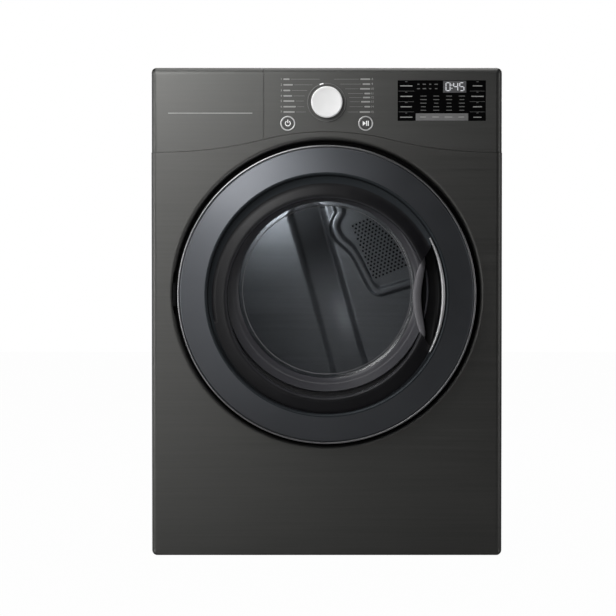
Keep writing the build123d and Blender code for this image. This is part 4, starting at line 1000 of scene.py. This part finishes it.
separators = [bar((left + right) / 2 * mm, row * mm, (right - left) * mm, 0.5 * mm)
              for left, right in (displayForm["keyLeft"], displayForm["keyRight"])
              for row in displayForm["keyRows"]]
for name, shapes, lift, finish in (("clockPane", [pane(displayForm["clock"])], 0, "clockPane"),
                                   ("keyStrip", [pane(displayForm["keys"])], 0, "keyBar"),
                                   ("clockFigures", clockFigures(displayForm), 0.15 * mm, "digit"),
                                   ("keySeparators", separators, 0, "markFaint")):
    keepPiece(platePiece(name, shapes, windowFace - lift, windowBack, finish), "cabinet", "black_gloss")
legendRows("leftLegends", 155, 893.6, 1, 4, 0, 20.3, 25, 1.7, 3, "mark")
legendRows("rightLegends", 294, 893.6, 1, 4, 0, 20.3, 24, 1.7, 8, "mark")
legendRows("leftSigns", 155, 901.8, 1, 4, 0, 20.3, 5, 1.0, 5, "markFaint")
legendRows("rightSigns", 294, 901.8, 1, 4, 0, 20.3, 5, 1.0, 6, "markFaint")
legendRows("indicatorRows", 226, 890.5, 4, 5, 25, 6.9, 13, 1.3, 11, "markFaint")
legendRows("keyNames", 225, 863.5, 4, 1, 25, 0, 17, 1.8, 2, "mark")
legendRows("clockSigns", 196, 923, 4, 2, 11.5, 8.5, 7, 1.8, 9, "markFaint")
print("display filled")


# finger pocket and the bright crescent beside it

pocketForm = {"arcX": 340.0, "arcZ": -7.0, "arc": 172.3, "mouth": 227.2, "low": -107.2, "high": 98.8,
              "lip": 16.5, "lipHalf": 85.0, "lipFront": -13.5, "tipFront": -25.0, "floor": -1.0,
              "mouthFront": -31.5, "tipRise": 3, "fullRoom": 52, "behind": 1.8, "rows": 64}


def pocketEdges(form, z):
    # left and right edge of the lens at a height over the middle of the door
    left = form["arcX"] - sqrt(form["arc"] ** 2 - (z - form["arcZ"]) ** 2)
    return left, sqrt(form["mouth"] ** 2 - z ** 2)


def lipWidth(form, z):
    # widest in the middle and gone near the tips
    share = min(1, abs(z - form["arcZ"]) / form["lipHalf"])
    return max(0.4, form["lip"] * (1 - share ** 4.5))


def pocketPiece(form):
    # the lens is cut into rows, each row runs from the lip across the floor to the door ring
    shape = bmesh.new()
    rows, backRows = [], []
    middle, half = (form["low"] + form["high"]) / 2, (form["high"] - form["low"]) / 2
    lipFront, floor = form["lipFront"], form["floor"]
    for step in range(form["rows"] + 1):
        t = step / form["rows"] * 2 - 1
        z = middle + sin(t * pi / 2) * half
        left, right = pocketEdges(form, z)
        room = max(right - left, 0.5)
        full = min(1, room / form["fullRoom"])
        lip = lipWidth(form, z)
        front = lipFront + (form["tipFront"] - lipFront) * (1 - full) ** 1.5
        deep = floor + (front - floor) * (1 - full) ** 1.2
        rise = form["mouthFront"] + (1 - full) * form["tipRise"]
        section = [(0, front + 4), (0.015 * lip, front + 1.4)]
        for a in [i / 8 for i in range(1, 9)]:
            section.append((lip * (0.015 + 0.9 * a), front - 2.0 * sin(pi * (a * 0.85 + 0.1)) + 2.2 * a * a))
        section += bend((lip, front + 3.5), (lip + 0.1, deep), (lip + 5 * full, deep), 6)
        section += bend((room - 15 * full, deep), (room - 1.5 * full, deep), (room, rise), 9)
        across = [(left + min(x, room), depth) for x, depth in section]
        rows.append([shape.verts.new(doorSpot(x, depth, z)) for x, depth in across])
        backRows.append([shape.verts.new(doorSpot(x, floor + form["behind"], z)) for x, _ in across])
    skin(shape, rows)
    skin(shape, backRows, flip=True)
    skin(shape, (rimOf(rows), rimOf(backRows)), True)
    piece = newPiece("fingerPocket", turnOutwards(toMesh(shape, "fingerPocket", False)), "pocket", 60)
    piece.data.materials.append(finishes["lip"])
    lipBack = frontY + (lipFront + 3.6) * mm
    for face in piece.data.polygons:
        z = (face.center.z - doorZ) / mm
        left = pocketEdges(form, min(form["high"], max(form["low"], z)))[0]
        lip = lipWidth(form, z)
        if lip > 1.2 and face.center.x / mm < left + lip * 1.02 and face.center.y < lipBack:
            face.material_index = 1
    return piece


keepPiece(pocketPiece(pocketForm), "door", "black_gloss", "handle_pocket")

handleForm = {"span": 29.0, "middle": 7.4, "end": 4.0, "outer": 230.2, "front": -40.0, "back": -32.2,
              "steps": 48, "corners": 12}


def handlePiece(form):
    shape = bmesh.new()
    loops = []
    for step in range(form["steps"] + 1):
        t = step / form["steps"] * 2 - 1
        turn = radians(form["span"] * t)
        wide = form["end"] + (form["middle"] - form["end"]) * cos(t * pi / 2) ** 1.2
        loop = []
        for corner in range(form["corners"]):
            a = pi * corner / (form["corners"] - 1)
            radius = form["outer"] - wide / 2 + wide / 2 * cos(a)
            depth = form["back"] - (form["back"] - form["front"]) * sin(a) ** 0.4
            loop.append(shape.verts.new(doorSpot(radius * cos(turn), depth, radius * sin(turn))))
        loops.append(loop)
    skin(shape, loops, True)
    shape.faces.new(loops[0][::-1])
    shape.faces.new(loops[-1])
    return newPiece("handleTrim", turnOutwards(toMesh(shape, "handleTrim", False)), "handle", 50)


keepPiece(handlePiece(handleForm), "door", "bright_trim", "handle_trim")

# bowl between the ring and the glass, in loops: radius, height of the middle, depth and the turns at its ends
bowlForm = {"steps": 150, "drop": 7.0, "edgeShadeFrom": 224.2, "edgeShadeDepth": -26.0, "lipTo": 197.4,
            "loops": (
                (230.3, 0.0, -31.0, 27.3, 26.6), (224.0, -7.0, -26.4, 26.0, 25.4),
                (215.0, -6.8, -28.4, 24.4, 23.9), (204.0, -6.6, -30.4, 22.4, 22.0),
                (197.4, -6.5, -31.2, 21.0, 20.7), (194.6, -6.5, -30.2, 20.6, 20.4),
                (193.2, -6.5, -27.0, 20.4, 20.2), (193.0, -6.5, -18.0, 20.4, 20.2),
                (194.0, -6.5, -4.0, 20.4, 20.2), (197.0, -6.5, -4.0, 21.0, 20.7),
                (200.0, -6.6, -22.0, 22.0, 21.6), (226.0, -7.0, -22.0, 26.0, 25.4),
                (230.3, 0.0, -26.0, 27.3, 26.6))}


def bowlPiece(form):
    shape = bmesh.new()
    loops = []
    for radius, rise, depth, first, last in form["loops"]:
        span = 360 - first - last
        turns = [radians(first + span * step / form["steps"]) for step in range(form["steps"] + 1)]
        loops.append([shape.verts.new(doorSpot(radius * cos(turn), depth, rise + radius * sin(turn)))
                      for turn in turns])
    skin(shape, loops + loops[:1])
    shape.faces.new([loop[0] for loop in loops])
    shape.faces.new([loop[-1] for loop in loops][::-1])
    piece = newPiece("doorBowl", turnOutwards(toMesh(shape, "doorBowl", False)), "bowlWall", 55)
    for finish in ("ringEdgeShade", "bowlLipPaintedLight"):
        piece.data.materials.append(finishes[finish])
    for face in piece.data.polygons:          # the crescent beside the ring takes the ring's darker edge finish, painted shade; the inner lip is painted paler than the bowl, painted light over its shade
        spot = face.center
        inner = hypot(spot.x, spot.z - doorZ + form["drop"] * mm) / mm
        if inner > form["edgeShadeFrom"] and spot.y < frontY + form["edgeShadeDepth"] * mm:
            face.material_index = 1
        elif inner < form["lipTo"]:
            face.material_index = 2
    return piece


keepPiece(bowlPiece(bowlForm), "door", "black_gloss", "door_bowl")

glassLow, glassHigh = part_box("door_glass")
glassForm = {"middle": (glassLow.z + glassHigh.z) / 2, "face": 22.0, "wall": 4.0, "corner": 172.2,
             "rim": 198.0, "rimDepth": -3.8, "line": (11.2, 12.4), "faceLines": ((-7.4, -6), (0.9, 1.6)),
             "flat": 60, "smokyFrom": 1.5}


def glassProfile(form):
    corner, front, back = form["corner"], form["face"], form["face"] + form["wall"]
    rim, rimDepth, flat = form["rim"], form["rimDepth"], corner - form["flat"]
    near = [(corner + reach, front) for reach in form["faceLines"][0]]
    near += bend((corner - 5.4, front), (corner, front), (corner + 7, front - 7), 12)
    near += [(corner + reach, front - reach) for reach in form["line"]]
    far = bend((corner - 8, back), (corner + 2.4, back), (corner + 9.4, back - 7), 12)
    return ([(0, front), (flat, front)] + near + [(rim, rimDepth), (rim + 2.4, rimDepth + form["wall"])]
            + far[::-1] + [(flat, back), (0, back)])


doorGlass = turnPiece("doorGlass", glassProfile(glassForm), (0, glassForm["middle"]), 160, "glass", 60)
doorGlass.data.materials.append(finishes["glassWall"])
doorGlass.data.materials.append(finishes["glassHighlightLine"])
# the tapering wall is smoky and the flat face clear; narrow grey bands on them are painted highlight lines
for face in doorGlass.data.polygons:
    reach = hypot(face.center.x, face.center.z - glassForm["middle"]) / mm - glassForm["corner"]
    looksForward = face.center.y < frontY + (glassForm["face"] + 0.6) * mm and face.normal.y < 0
    outerHighlightLine = face.normal.y < -0.2 and glassForm["line"][0] < reach < glassForm["line"][1]
    if outerHighlightLine or (looksForward and any(low < reach < high for low, high in glassForm["faceLines"])):
        face.material_index = 2
    elif reach > glassForm["smokyFrom"]:
        face.material_index = 1
keepPiece(doorGlass, "door", "tinted_glass", "door_glass")
print("pocket, handle, bowl and glass made")

# rear wall of the drum: one pressed sheet with a slanting channel and a ridge round the air inlet, with
# painted shade down the channel and in the inlet opening, and a painted highlight low in the channel

wallLow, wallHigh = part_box("rear_bulkhead")
wallForm = {
    "pitch": 3.0, "lean": 15.5, "shift": 2.4, "length": 520.0, "top": 72.0, "bottom": 71.0, "depth": 5.0,
    "soft": 20.0, "shade": (70, 190, 0.93), "paintedHighlight": (17.0, -66.0, 17.0, 44.0, 0.85),
    "ridge": ((20, 222), (22, 192), (25, 178), (30, 168), (21, 153), (18, 135), (30, 111), (60, 82), (87, 33),
              (100, 8), (117, -4), (140, 2), (183, 15), (218, 27)),
    "ridgeBox": (-30, 240, -50, 230), "ridgeHalf": 11.5, "ridgeSoft": 6.5, "ridgeHigh": 5.0,
    "rimRadius": 306.0, "rimFront": 578.0, "face": 602.0, "pan": 2.5, "panFrom": 262, "panSoft": 26,
    "inlet": (114.0, 96.0, 23.0, 38.5, 65.0, 5.5),
}


def ridgePoints(form):
    # a smooth line through the points of the ridge
    points = [Vector(p) for p in form["ridge"]]
    line = []
    for a, b, c, d in zip(points, points[1:], points[2:], points[3:]):
        for step in range(12):
            t = step / 12
            line.append(0.5 * (2 * b + (c - a) * t + (2 * a - 5 * b + 4 * c - d) * t * t
                               + (3 * b - a - 3 * c + d) * t ** 3))
    return line


def wallSpot(x, z, line, form):
    # how far behind the plain sheet a spot lies, and how much painted shade it takes (painted highlight where
    # that is below zero), about the middle of the drum
    lean = radians(form["lean"])
    across = (x - form["shift"]) * cos(lean) + z * sin(lean)
    along = -(x - form["shift"]) * sin(lean) + z * cos(lean)
    share = along / form["length"] + 0.5
    half = (form["bottom"] + (form["top"] - form["bottom"]) * share) / 2
    inside = min(half - abs(across), form["length"] / 2 - abs(along))
    channel = smoothStep(inside / form["soft"] + 0.5)
    depth = form["depth"] * channel
    # painted shade grows up the channel, and a painted highlight sits low in it
    patchX, patchZ, patchWide, patchTall, highlightShare = form["paintedHighlight"]
    paintedHighlight = exp(-((across - patchX) / patchWide) ** 2 - ((along - patchZ) / patchTall) ** 2)
    shadeFrom, shadeSoft, darkestPaintedShade = form["shade"]
    dark = channel * (smoothStep((along + shadeFrom) / shadeSoft) * darkestPaintedShade - highlightShare * paintedHighlight)
    left, right, low, high = form["ridgeBox"]
    if left < x < right and low < z < high:
        nearest = sqrt(min((p.x - x) ** 2 + (p.y - z) ** 2 for p in line))
        depth -= form["ridgeHigh"] * smoothStep((form["ridgeHalf"] - nearest) / form["ridgeSoft"])
    inletX, inletZ, turn, wide, tall, sunk = form["inlet"]
    turn = radians(turn)
    u = (x - inletX) * cos(turn) + (z - inletZ) * sin(turn)
    v = -(x - inletX) * sin(turn) + (z - inletZ) * cos(turn)
    # the sunk opening behind the grille is painted fully dark: painted shade
    if abs(u) < wide and abs(v) < tall:
        depth, dark = sunk, 1.0
    rim = hypot(x, z)
    return depth - form["pan"] * smoothStep((rim - form["panFrom"]) / form["panSoft"]), dark


def rearWallPiece(form):
    line = ridgePoints(form)
    shape = bmesh.new()
    left, right = wallLow.x / mm, wallHigh.x / mm
    low, high = (wallLow.z - doorZ) / mm, (wallHigh.z - doorZ) / mm
    columns, lines = round((right - left) / form["pitch"]), round((high - low) / form["pitch"])
    shade = shape.verts.layers.float.new("shade")
    rows = []
    for j in range(lines + 1):
        z = low + (high - low) * j / lines
        row = []
        for i in range(columns + 1):
            x = left + (right - left) * i / columns
            depth, dark = wallSpot(x, z, line, form)
            row.append(shape.verts.new(doorSpot(x, form["face"] + depth, z)))
            row[-1][shade] = dark
        rows.append(row)
    skin(shape, rows)
    # the sheet is closed behind by one plain back
    edge = rimOf(rows)
    behind = [shape.verts.new((v.co.x, wallHigh.y, v.co.z)) for v in edge]
    skin(shape, (edge, behind), True, True)
    shape.faces.new(behind)
    return newPiece("rearWall", toMesh(shape, "rearWall"), "rearWall", 60)


keepPiece(rearWallPiece(wallForm), "cabinet", "zinc_sheet", "rear_bulkhead")
rim, rimFront, rimBack = wallForm["rimRadius"], wallForm["rimFront"], wallForm["face"] + 2
rimProfile = closed([(rim, rimFront), (rim, rimBack), (rim + 1.5, rimBack), (rim + 1.5, rimFront)])
keepPiece(turnPiece("rearRim", rimProfile, (0, doorZ), 128, "rearWall", 40), "cabinet", "zinc_sheet")
print("rear wall pressed")


def grilleTree():
    # a sheet with round holes in staggered rows, filled from curves
    labels = ("Width", "Height", "Corner", "Pitch", "Hole", "Border", "Thickness")
    tree, given, add, calc = newTree("perforatedSheet", dict.fromkeys(labels, "Float"))
    outline = add("GeometryNodeCurvePrimitiveQuadrilateral", {key: given[key] for key in labels[:2]})
    rounding = add("GeometryNodeFilletCurve", mode="POLY")
    feed(tree, rounding, {"Count": 6, "Curve": outline, "Radius": given["Corner"]})
    pitch = given["Pitch"]
    rowStep = calc("MULTIPLY", pitch, 0.866)
    sizes = {}
    for label, size, gap in (("X", "Width", pitch), ("Y", "Height", rowStep)):
        room = calc("SUBTRACT", given[size], calc("MULTIPLY", given["Border"], 2))
        gaps = calc("FLOOR", calc("DIVIDE", room, gap))
        sizes["Size " + label] = calc("MULTIPLY", gaps, gap)
        sizes["Vertices " + label] = calc("ADD", gaps, 1)
    level = add("ShaderNodeSeparateXYZ", {0: add("GeometryNodeInputPosition")}).outputs["Y"]
    row = calc("ROUND", calc("DIVIDE", calc("ADD", level, 1.0), rowStep))
    shift = calc("MULTIPLY", calc("SUBTRACT", calc("MODULO", row, 2), 0.5), calc("MULTIPLY", pitch, 0.5))
    stagger = add("GeometryNodeSetPosition", {"Geometry": add("GeometryNodeMeshGrid", sizes),
                                              "Offset": add("ShaderNodeCombineXYZ", {"X": shift})})
    hole = add("GeometryNodeCurvePrimitiveCircle", {"Resolution": 10, "Radius": given["Hole"]})
    scatter = add("GeometryNodeInstanceOnPoints", {"Points": stagger, "Instance": hole})
    holes = add("GeometryNodeRealizeInstances", {"Geometry": scatter})
    join = add("GeometryNodeJoinGeometry", {"Geometry": [holes, rounding]})
    sheet = add("GeometryNodeFillCurve", {"Curve": join}, mode="TRIANGLES")
    thick = add("GeometryNodeExtrudeMesh", mode="FACES")
    feed(tree, thick, {"Individual": False, "Mesh": sheet, "Offset Scale": given["Thickness"]})
    return endTree(tree, given, add("GeometryNodeJoinGeometry", {"Geometry": [thick, sheet]}))


grilleForm = {"x": 114 * mm, "z": doorZ + 96 * mm, "turn": 23, "depth": 601.8,
              "Width": 89 * mm, "Height": 144 * mm, "Corner": 10 * mm, "Pitch": 8.4 * mm, "Hole": 2.5 * mm,
              "Border": 7 * mm, "Thickness": 1.4 * mm}
grillePlace = (Matrix.Translation((grilleForm["x"], frontY + grilleForm["depth"] * mm, grilleForm["z"]))
               @ Matrix.Rotation(radians(-grilleForm["turn"]), 4, "Y") @ standUp)
grille = growPiece("airInlet", grilleTree(), bpy.data.meshes.new("airInletSeed"), "rearWall", 35, grillePlace,
                   **grilleForm)
keepPiece(grille, "cabinet", "zinc_sheet", "air_inlet_grille")
print("air inlet perforated:", len(grille.data.polygons), "faces")


# screws, set out by one tree on the places of the CAD screws

screwForm = {"head": 4.5, "high": 2.2, "slot": 1.1, "slotDepth": 1.1, "seed": 4}


def screwHead(form):
    # round head along +Z with a cross sunk into it
    shape = bmesh.new()
    wide, high = form["head"], form["high"]
    profile = [(wide, 0), (wide, high * 0.45)]
    profile += bend((wide, high * 0.45), (wide, high), (wide * 0.62, high), 4)[1:]
    turns = [k * pi / 10 for k in range(20)]
    rings = [[shape.verts.new((radius * cos(a) * mm, radius * sin(a) * mm, lift * mm)) for a in turns]
             for radius, lift in profile]
    skin(shape, rings, True)
    shape.faces.new(rings[0][::-1])
    # the flat top runs round the arms of the cross, and the cross has walls and a floor
    arm, half, floor = wide * 0.52, form["slot"] / 2, high - form["slotDepth"]
    corners = []
    for quarter in range(4):
        turn = Matrix.Rotation(quarter * pi / 2, 3, "Z")
        corners += [turn @ Vector(p) for p in ((arm, -half, 0), (arm, half, 0), (half, half, 0))]
    upper = [shape.verts.new((p.x * mm, p.y * mm, high * mm)) for p in corners]
    lower = [shape.verts.new((p.x * mm * 0.9, p.y * mm * 0.9, floor * mm)) for p in corners]
    skin(shape, (upper, lower), True)
    shape.faces.new(lower)
    top = [shape.edges.get(pair) for loop in (rings[-1], upper) for pair in zip(loop, loop[1:] + loop[:1])]
    bmesh.ops.triangle_fill(shape, use_beauty=True, edges=top)
    return addObject("screwHead", toMesh(shape, "screwHead"))


def screwTree():
    tree, given, add, calc = newTree("screwRow", {"Head": "Object", "Seed": "Int"})
    shape = add("GeometryNodeObjectInfo", {"Object": given["Head"]}).outputs["Geometry"]
    turn = add("FunctionNodeRandomValue", data_type="FLOAT")
    feed(tree, turn, {"Max": pi, "Seed": given["Seed"]})
    spin = add("ShaderNodeCombineXYZ", {"Z": turn.outputs["Value"]})
    return endTree(tree, given, add("GeometryNodeInstanceOnPoints", {
        "Points": given["Geometry"], "Instance": shape, "Rotation": spin}))


screwRow = screwTree()
head = screwHead(screwForm)


def screwPiece(name, places, depth):
    # places in X and Z on a face that looks back
    seed = bpy.data.meshes.new(name + "Places")
    seed.from_pydata([(x, -z, 0) for x, z in places], [], [])
    place = Matrix.Translation((0, depth, 0)) @ Matrix.Rotation(radians(-90), 4, "X")
    return growPiece(name, screwRow, seed, "fastener", 40, place, Head=head, Seed=screwForm["seed"])


def looseParts(node):
    # middle of every loose part of a CAD node
    shape = copyShape(node, 0.00005)
    left = set(shape.verts)
    middles = []
    while left:
        group, front = set(), [left.pop()]
        while front:
            vert = front.pop()
            group.add(vert)
            for edge in vert.link_edges:
                other = edge.other_vert(vert)
                if other in left:
                    left.discard(other)
                    front.append(other)
        xs, zs = [v.co.x for v in group], [v.co.z for v in group]
        middles.append(((min(xs) + max(xs)) / 2, (min(zs) + max(zs)) / 2))
    shape.free()
    return sorted(middles)


coverLow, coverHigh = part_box("terminal_cover")
coverX = (coverLow.x + coverHigh.x) / 2
keepPiece(screwPiece("rearScrews", looseParts("cabinet_screws"), rearY), "cabinet", "steel_fasteners",
          "cabinet_screws")
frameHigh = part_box("door_inner_frame")[1]
keepPiece(screwPiece("doorScrews", looseParts("door_screws"), frameHigh.y), "door", "steel_fasteners",
          "door_screws")
keepPiece(screwPiece("coverScrew", [(coverX, coverLow.z + 12 * mm)], coverHigh.y), "cabinet",
          "steel_fasteners")
bpy.data.objects.remove(head)
print("screws set")

# louvres over the slots of the rear panel

louvreForm = {"Columns": 3, "Rows": 9, "Column Step": 110 * mm, "Row Step": 14 * mm, "low": 640 * mm,
              "wide": 74.0, "tall": 8.4, "proud": 4.2}


def louvreShape(form):
    # shell of a pressed louvre, open below, along +Z
    shape = bmesh.new()
    outer, inner = [], []
    for v in [j / 6 for j in range(7)]:
        row = []
        for u in [i / 18 * 2 - 1 for i in range(19)]:
            rise = sqrt(max(0, 1 - abs(u) ** 5)) * cos(v * pi / 2) ** 0.8
            row.append((u * form["wide"] / 2, v * form["tall"] - form["tall"] * 0.35, rise * form["proud"]))
        outer.append([shape.verts.new((x * mm, y * mm, z * mm)) for x, y, z in row])
        inner.append([shape.verts.new((x * 0.98 * mm, (y + 0.3) * 0.96 * mm, (z - 0.7) * mm))
                      for x, y, z in row])
    skin(shape, outer)
    skin(shape, inner, flip=True)
    skin(shape, (rimOf(outer), rimOf(inner)), True)
    return addObject("louvre", toMesh(shape, "louvre"))


def louvreTree():
    tree, given, add, calc = newTree("louvreRows", {"Louvre": "Object", **gridSizes})
    shape = add("GeometryNodeObjectInfo", {"Object": given["Louvre"]}).outputs["Geometry"]
    return endTree(tree, given, add("GeometryNodeInstanceOnPoints", {
        "Points": gridOf(given, add, calc), "Instance": shape}))


louvre = louvreShape(louvreForm)
louvreMiddle = louvreForm["low"] + louvreForm["Row Step"] * (louvreForm["Rows"] - 1) / 2
louvrePlace = Matrix.Translation((0, rearY, louvreMiddle)) @ Matrix.Rotation(pi, 4, "Z") @ standUp
louvres = growPiece("rearLouvres", louvreTree(), bpy.data.meshes.new("louvreSeed"), "zinc", 50, louvrePlace,
                    Louvre=louvre, **louvreForm)
keepPiece(louvres, "cabinet", "zinc_sheet")
bpy.data.objects.remove(louvre)
print("louvres pressed")

# wire screens in the pockets of the lint filter

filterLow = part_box("lint_filter")[0]
screenForm = {"left": -92 * mm, "clear": 43 * mm, "rib": 4 * mm, "pockets": 4, "low": 127 * mm,
              "sunk": 8 * mm, "Wires": 24, "Length": 147 * mm, "Step": 1.8 * mm, "Wire": 0.5 * mm}


def screenTree():
    # upright wires side by side with level wires behind them
    labels = {"Wires": "Int", "Length": "Float", "Step": "Float", "Wire": "Float"}
    tree, given, add, calc = newTree("wireScreen", labels)
    wires, tall, step, thick = [given[label] for label in labels]
    wide = calc("MULTIPLY", calc("SUBTRACT", wires, 1), step)
    levels = calc("FLOOR", calc("DIVIDE", tall, step))
    layers = []
    for axis, other, count, span, length in (("X", "Y", wires, wide, tall), ("Y", "X", levels, tall, wide)):
        row = add("GeometryNodeMeshGrid", {"Vertices " + axis: count, "Vertices " + other: 1,
                                           "Size " + axis: span})
        size = add("ShaderNodeCombineXYZ", {axis: thick, other: length, "Z": thick})
        wire = add("GeometryNodeMeshCube", {"Size": size})
        layers.append(add("GeometryNodeInstanceOnPoints", {"Points": row, "Instance": wire}))
    return endTree(tree, given, add("GeometryNodeJoinGeometry", {"Geometry": layers}))


wireScreen = screenTree()


def lintScreens(form):
    for step in range(form["pockets"]):
        middle = form["left"] + step * (form["clear"] + form["rib"]) + form["clear"] / 2
        spot = (middle, filterLow.y + form["sunk"], form["low"] + form["Length"] / 2)
        screen = growPiece("lintScreen" + str(step + 1), wireScreen, bpy.data.meshes.new("screenSeed"),
                           "fastener", 35, Matrix.Translation(spot) @ standUp, **form)
        keepPiece(screen, "filter", "steel_fasteners")


lintScreens(screenForm)
print("lint screens woven")

# a near-black sheet in the round recess paints the gap beside the door dark: painted shade
shadeLiningForm = {"outer": 301.4, "inner": 258.0, "floor": 16.4, "thick": 0.6, "front": 13.0}


def liningProfile(form):
    outer, thick = form["outer"], form["thick"]
    return closed([(form["inner"], form["floor"]), (outer, form["floor"]), (outer, form["front"]),
                   (outer - thick, form["front"]), (outer - thick, form["floor"] - thick),
                   (form["inner"], form["floor"] - thick)])


recessLining = turnPiece("recessLining", liningProfile(shadeLiningForm), (0, doorZ), 160, "shadeLining", 40)
keepPiece(recessLining, "cabinet", "seal_rubber")


# finishes of the CAD pieces that keep their own shape

dressed = {
    "zinc": ("base_pan", "rear_panel", "front_bulkhead", "heater_box", "exhaust_duct", "idler_arm"),
    "fastener": ("roller_shafts", "door_strike", "moisture_sensor"),
    "screen": ("display_window",),
    "lens": ("drum_lamp",),
    "backPlastic": ("door_inner_frame", "drawer_housing", "terminal_cover", "door_latch"),
    "hinge": ("hinge_bracket", "hinge_pin", "hinge_leaf"),
    "button": ("power_button", "start_button"),
    "felt": ("drum_felt_seals",),
    "baffle": ("drum_baffles",),
    "roller": ("front_left_roller", "front_right_roller", "rear_left_roller", "rear_right_roller",
               "drive_belt", "leveling_feet"),
    "duct": ("filter_duct", "blower_housing", "blower_wheel", "idler_pulley"),
    "filter": ("lint_filter",),
    "drawer": ("drawer_tray",),
    "tank": ("steam_tank",),
    "motor": ("drive_motor", "motor_pulley"),
    "board": ("control_board",),
    "gland": ("cable_gland",),
}
for finish, names in dressed.items():
    for name in names:
        for place in nodes[name].material_slots:
            place.material = finishes[finish]
print("CAD pieces dressed")

# floor, light and camera

stageForm = {"reach": 9.0, "tone": (0.3, 0.3, 0.3), "glow": 0.985}


def floorFinish(form):
    # pale floor that shows near white to the camera and only softly lights what stands on it
    finish, tree, surface = startFinish("paleFloor")
    feed(tree, surface, {"Base Color": (*form["tone"], 1), "Roughness": 0.9, "Specular IOR Level": 0.0})
    glow = addNode(tree, "ShaderNodeEmission", {"Color": (1, 1, 1, 1)})
    ray = addNode(tree, "ShaderNodeLightPath").outputs["Is Camera Ray"]
    share = mathNode(tree, "MULTIPLY", ray, form["glow"])
    mix = addNode(tree, "ShaderNodeMixShader", {0: share, 1: surface, 2: glow})
    feed(tree, tree.nodes["Material Output"], {"Surface": mix})
    return finish


def floorPiece(form):
    reach = form["reach"]
    mesh = bpy.data.meshes.new("studioFloor")
    mesh.from_pydata([(-reach, -reach, 0), (reach, -reach, 0), (reach, reach, 0), (-reach, reach, 0)], [],
                     [(0, 1, 2, 3)])
    mesh.materials.append(floorFinish(form))
    floor = addObject("studioFloor", mesh)


floorPiece(stageForm)


def studioWorld(seen, unseen):
    world = bpy.data.worlds.new("studioWorld")
    world.use_nodes = True
    tree = world.node_tree
    ray = addNode(tree, "ShaderNodeLightPath").outputs["Is Camera Ray"]
    strength = addNode(tree, "ShaderNodeMapRange", {"Value": ray, "To Min": unseen, "To Max": seen})
    feed(tree, tree.nodes["Background"], {"Color": (1, 1, 1, 1), "Strength": strength})
    scene.world = world


studioWorld(1.0, 0.022)


def softLight(name, place, target, size, power, tint=(1, 1, 1)):
    light = bpy.data.lights.new(name, "AREA")
    light.shape = "RECTANGLE"
    light.size, light.size_y = size
    light.energy, light.color = power, tint
    lamp = addObject(name, light)
    lamp.location = place
    lamp.rotation_euler = (Vector(target) - Vector(place)).to_track_quat("-Z", "Y").to_euler()
    lamp.visible_camera = False


# name, place, target, size, power and tint
lights = (
    ("keyLight", (-0.5, -2.0, 1.4), (-0.1, -0.34, 0.7), (0.8, 0.8), 3.3),
    ("nearLight", (-0.55, -1.15, 1.25), (-0.1, -0.34, 0.7), (0.5, 0.5), 4.1),
    ("frontStrip", (-0.6, -2.2, 0.8), (-0.2, -0.34, 0.5), (0.4, 1.6), 4.9),
    ("leftStrip", (-0.75, -1.2, 0.6), (-0.2, -0.34, 0.5), (0.3, 1.2), 0.5),
    ("rightRim", (2.6, -0.5, 0.8), (0.2, 0, 0.5), (1.0, 1.6), 3),
    ("leftRim", (-2.6, 0.3, 0.8), (-0.2, 0, 0.5), (1.2, 1.6), 8),
    ("leftEdge", (-2.5, -1.3, 0.55), (-0.34, -0.34, 0.5), (0.25, 1.8), 18),
    ("rightEdge", (2.5, -1.3, 0.55), (0.34, -0.34, 0.5), (0.25, 1.8), 5),
    ("topEdge", (-0.8, -1.3, 2.9), (-0.2, -0.34, 0.95), (1.2, 0.3), 9),
    ("topLight", (0, 0.2, 2.6), (0, 0, 0.9), (1.6, 1.6), 18),
    ("backLight", (0.6, 2.6, 1.6), (0, 0.2, 0.5), (1.6, 1.6), 40),
    ("drumLight", (-0.12, -0.12, 0.74), (0.03, 0.26, 0.5), (0.1, 0.1), 0.9, (0.9, 0.95, 1.0)),
    ("drumFill", (0.06, -0.2, 0.46), (0.04, 0.26, 0.5), (0.3, 0.3), 0.1, (0.97, 0.98, 1.0)),
)
for row in lights:
    softLight(*row)

cameraForm = {"place": (0, -4.844, 0.6), "tilt": 1.391, "lens": 134.55, "shift": -0.0305}
cameraData = bpy.data.cameras.new("photoCamera")
cameraData.lens = cameraForm["lens"]
cameraData.sensor_width = 36
cameraData.shift_x = cameraForm["shift"]
camera = addObject("photoCamera", cameraData)
camera.location = cameraForm["place"]
camera.rotation_euler = (radians(90 - cameraForm["tilt"]), 0, 0)
scene.camera = camera
scene.view_settings.view_transform = "Standard"

print("stage, light and camera set")
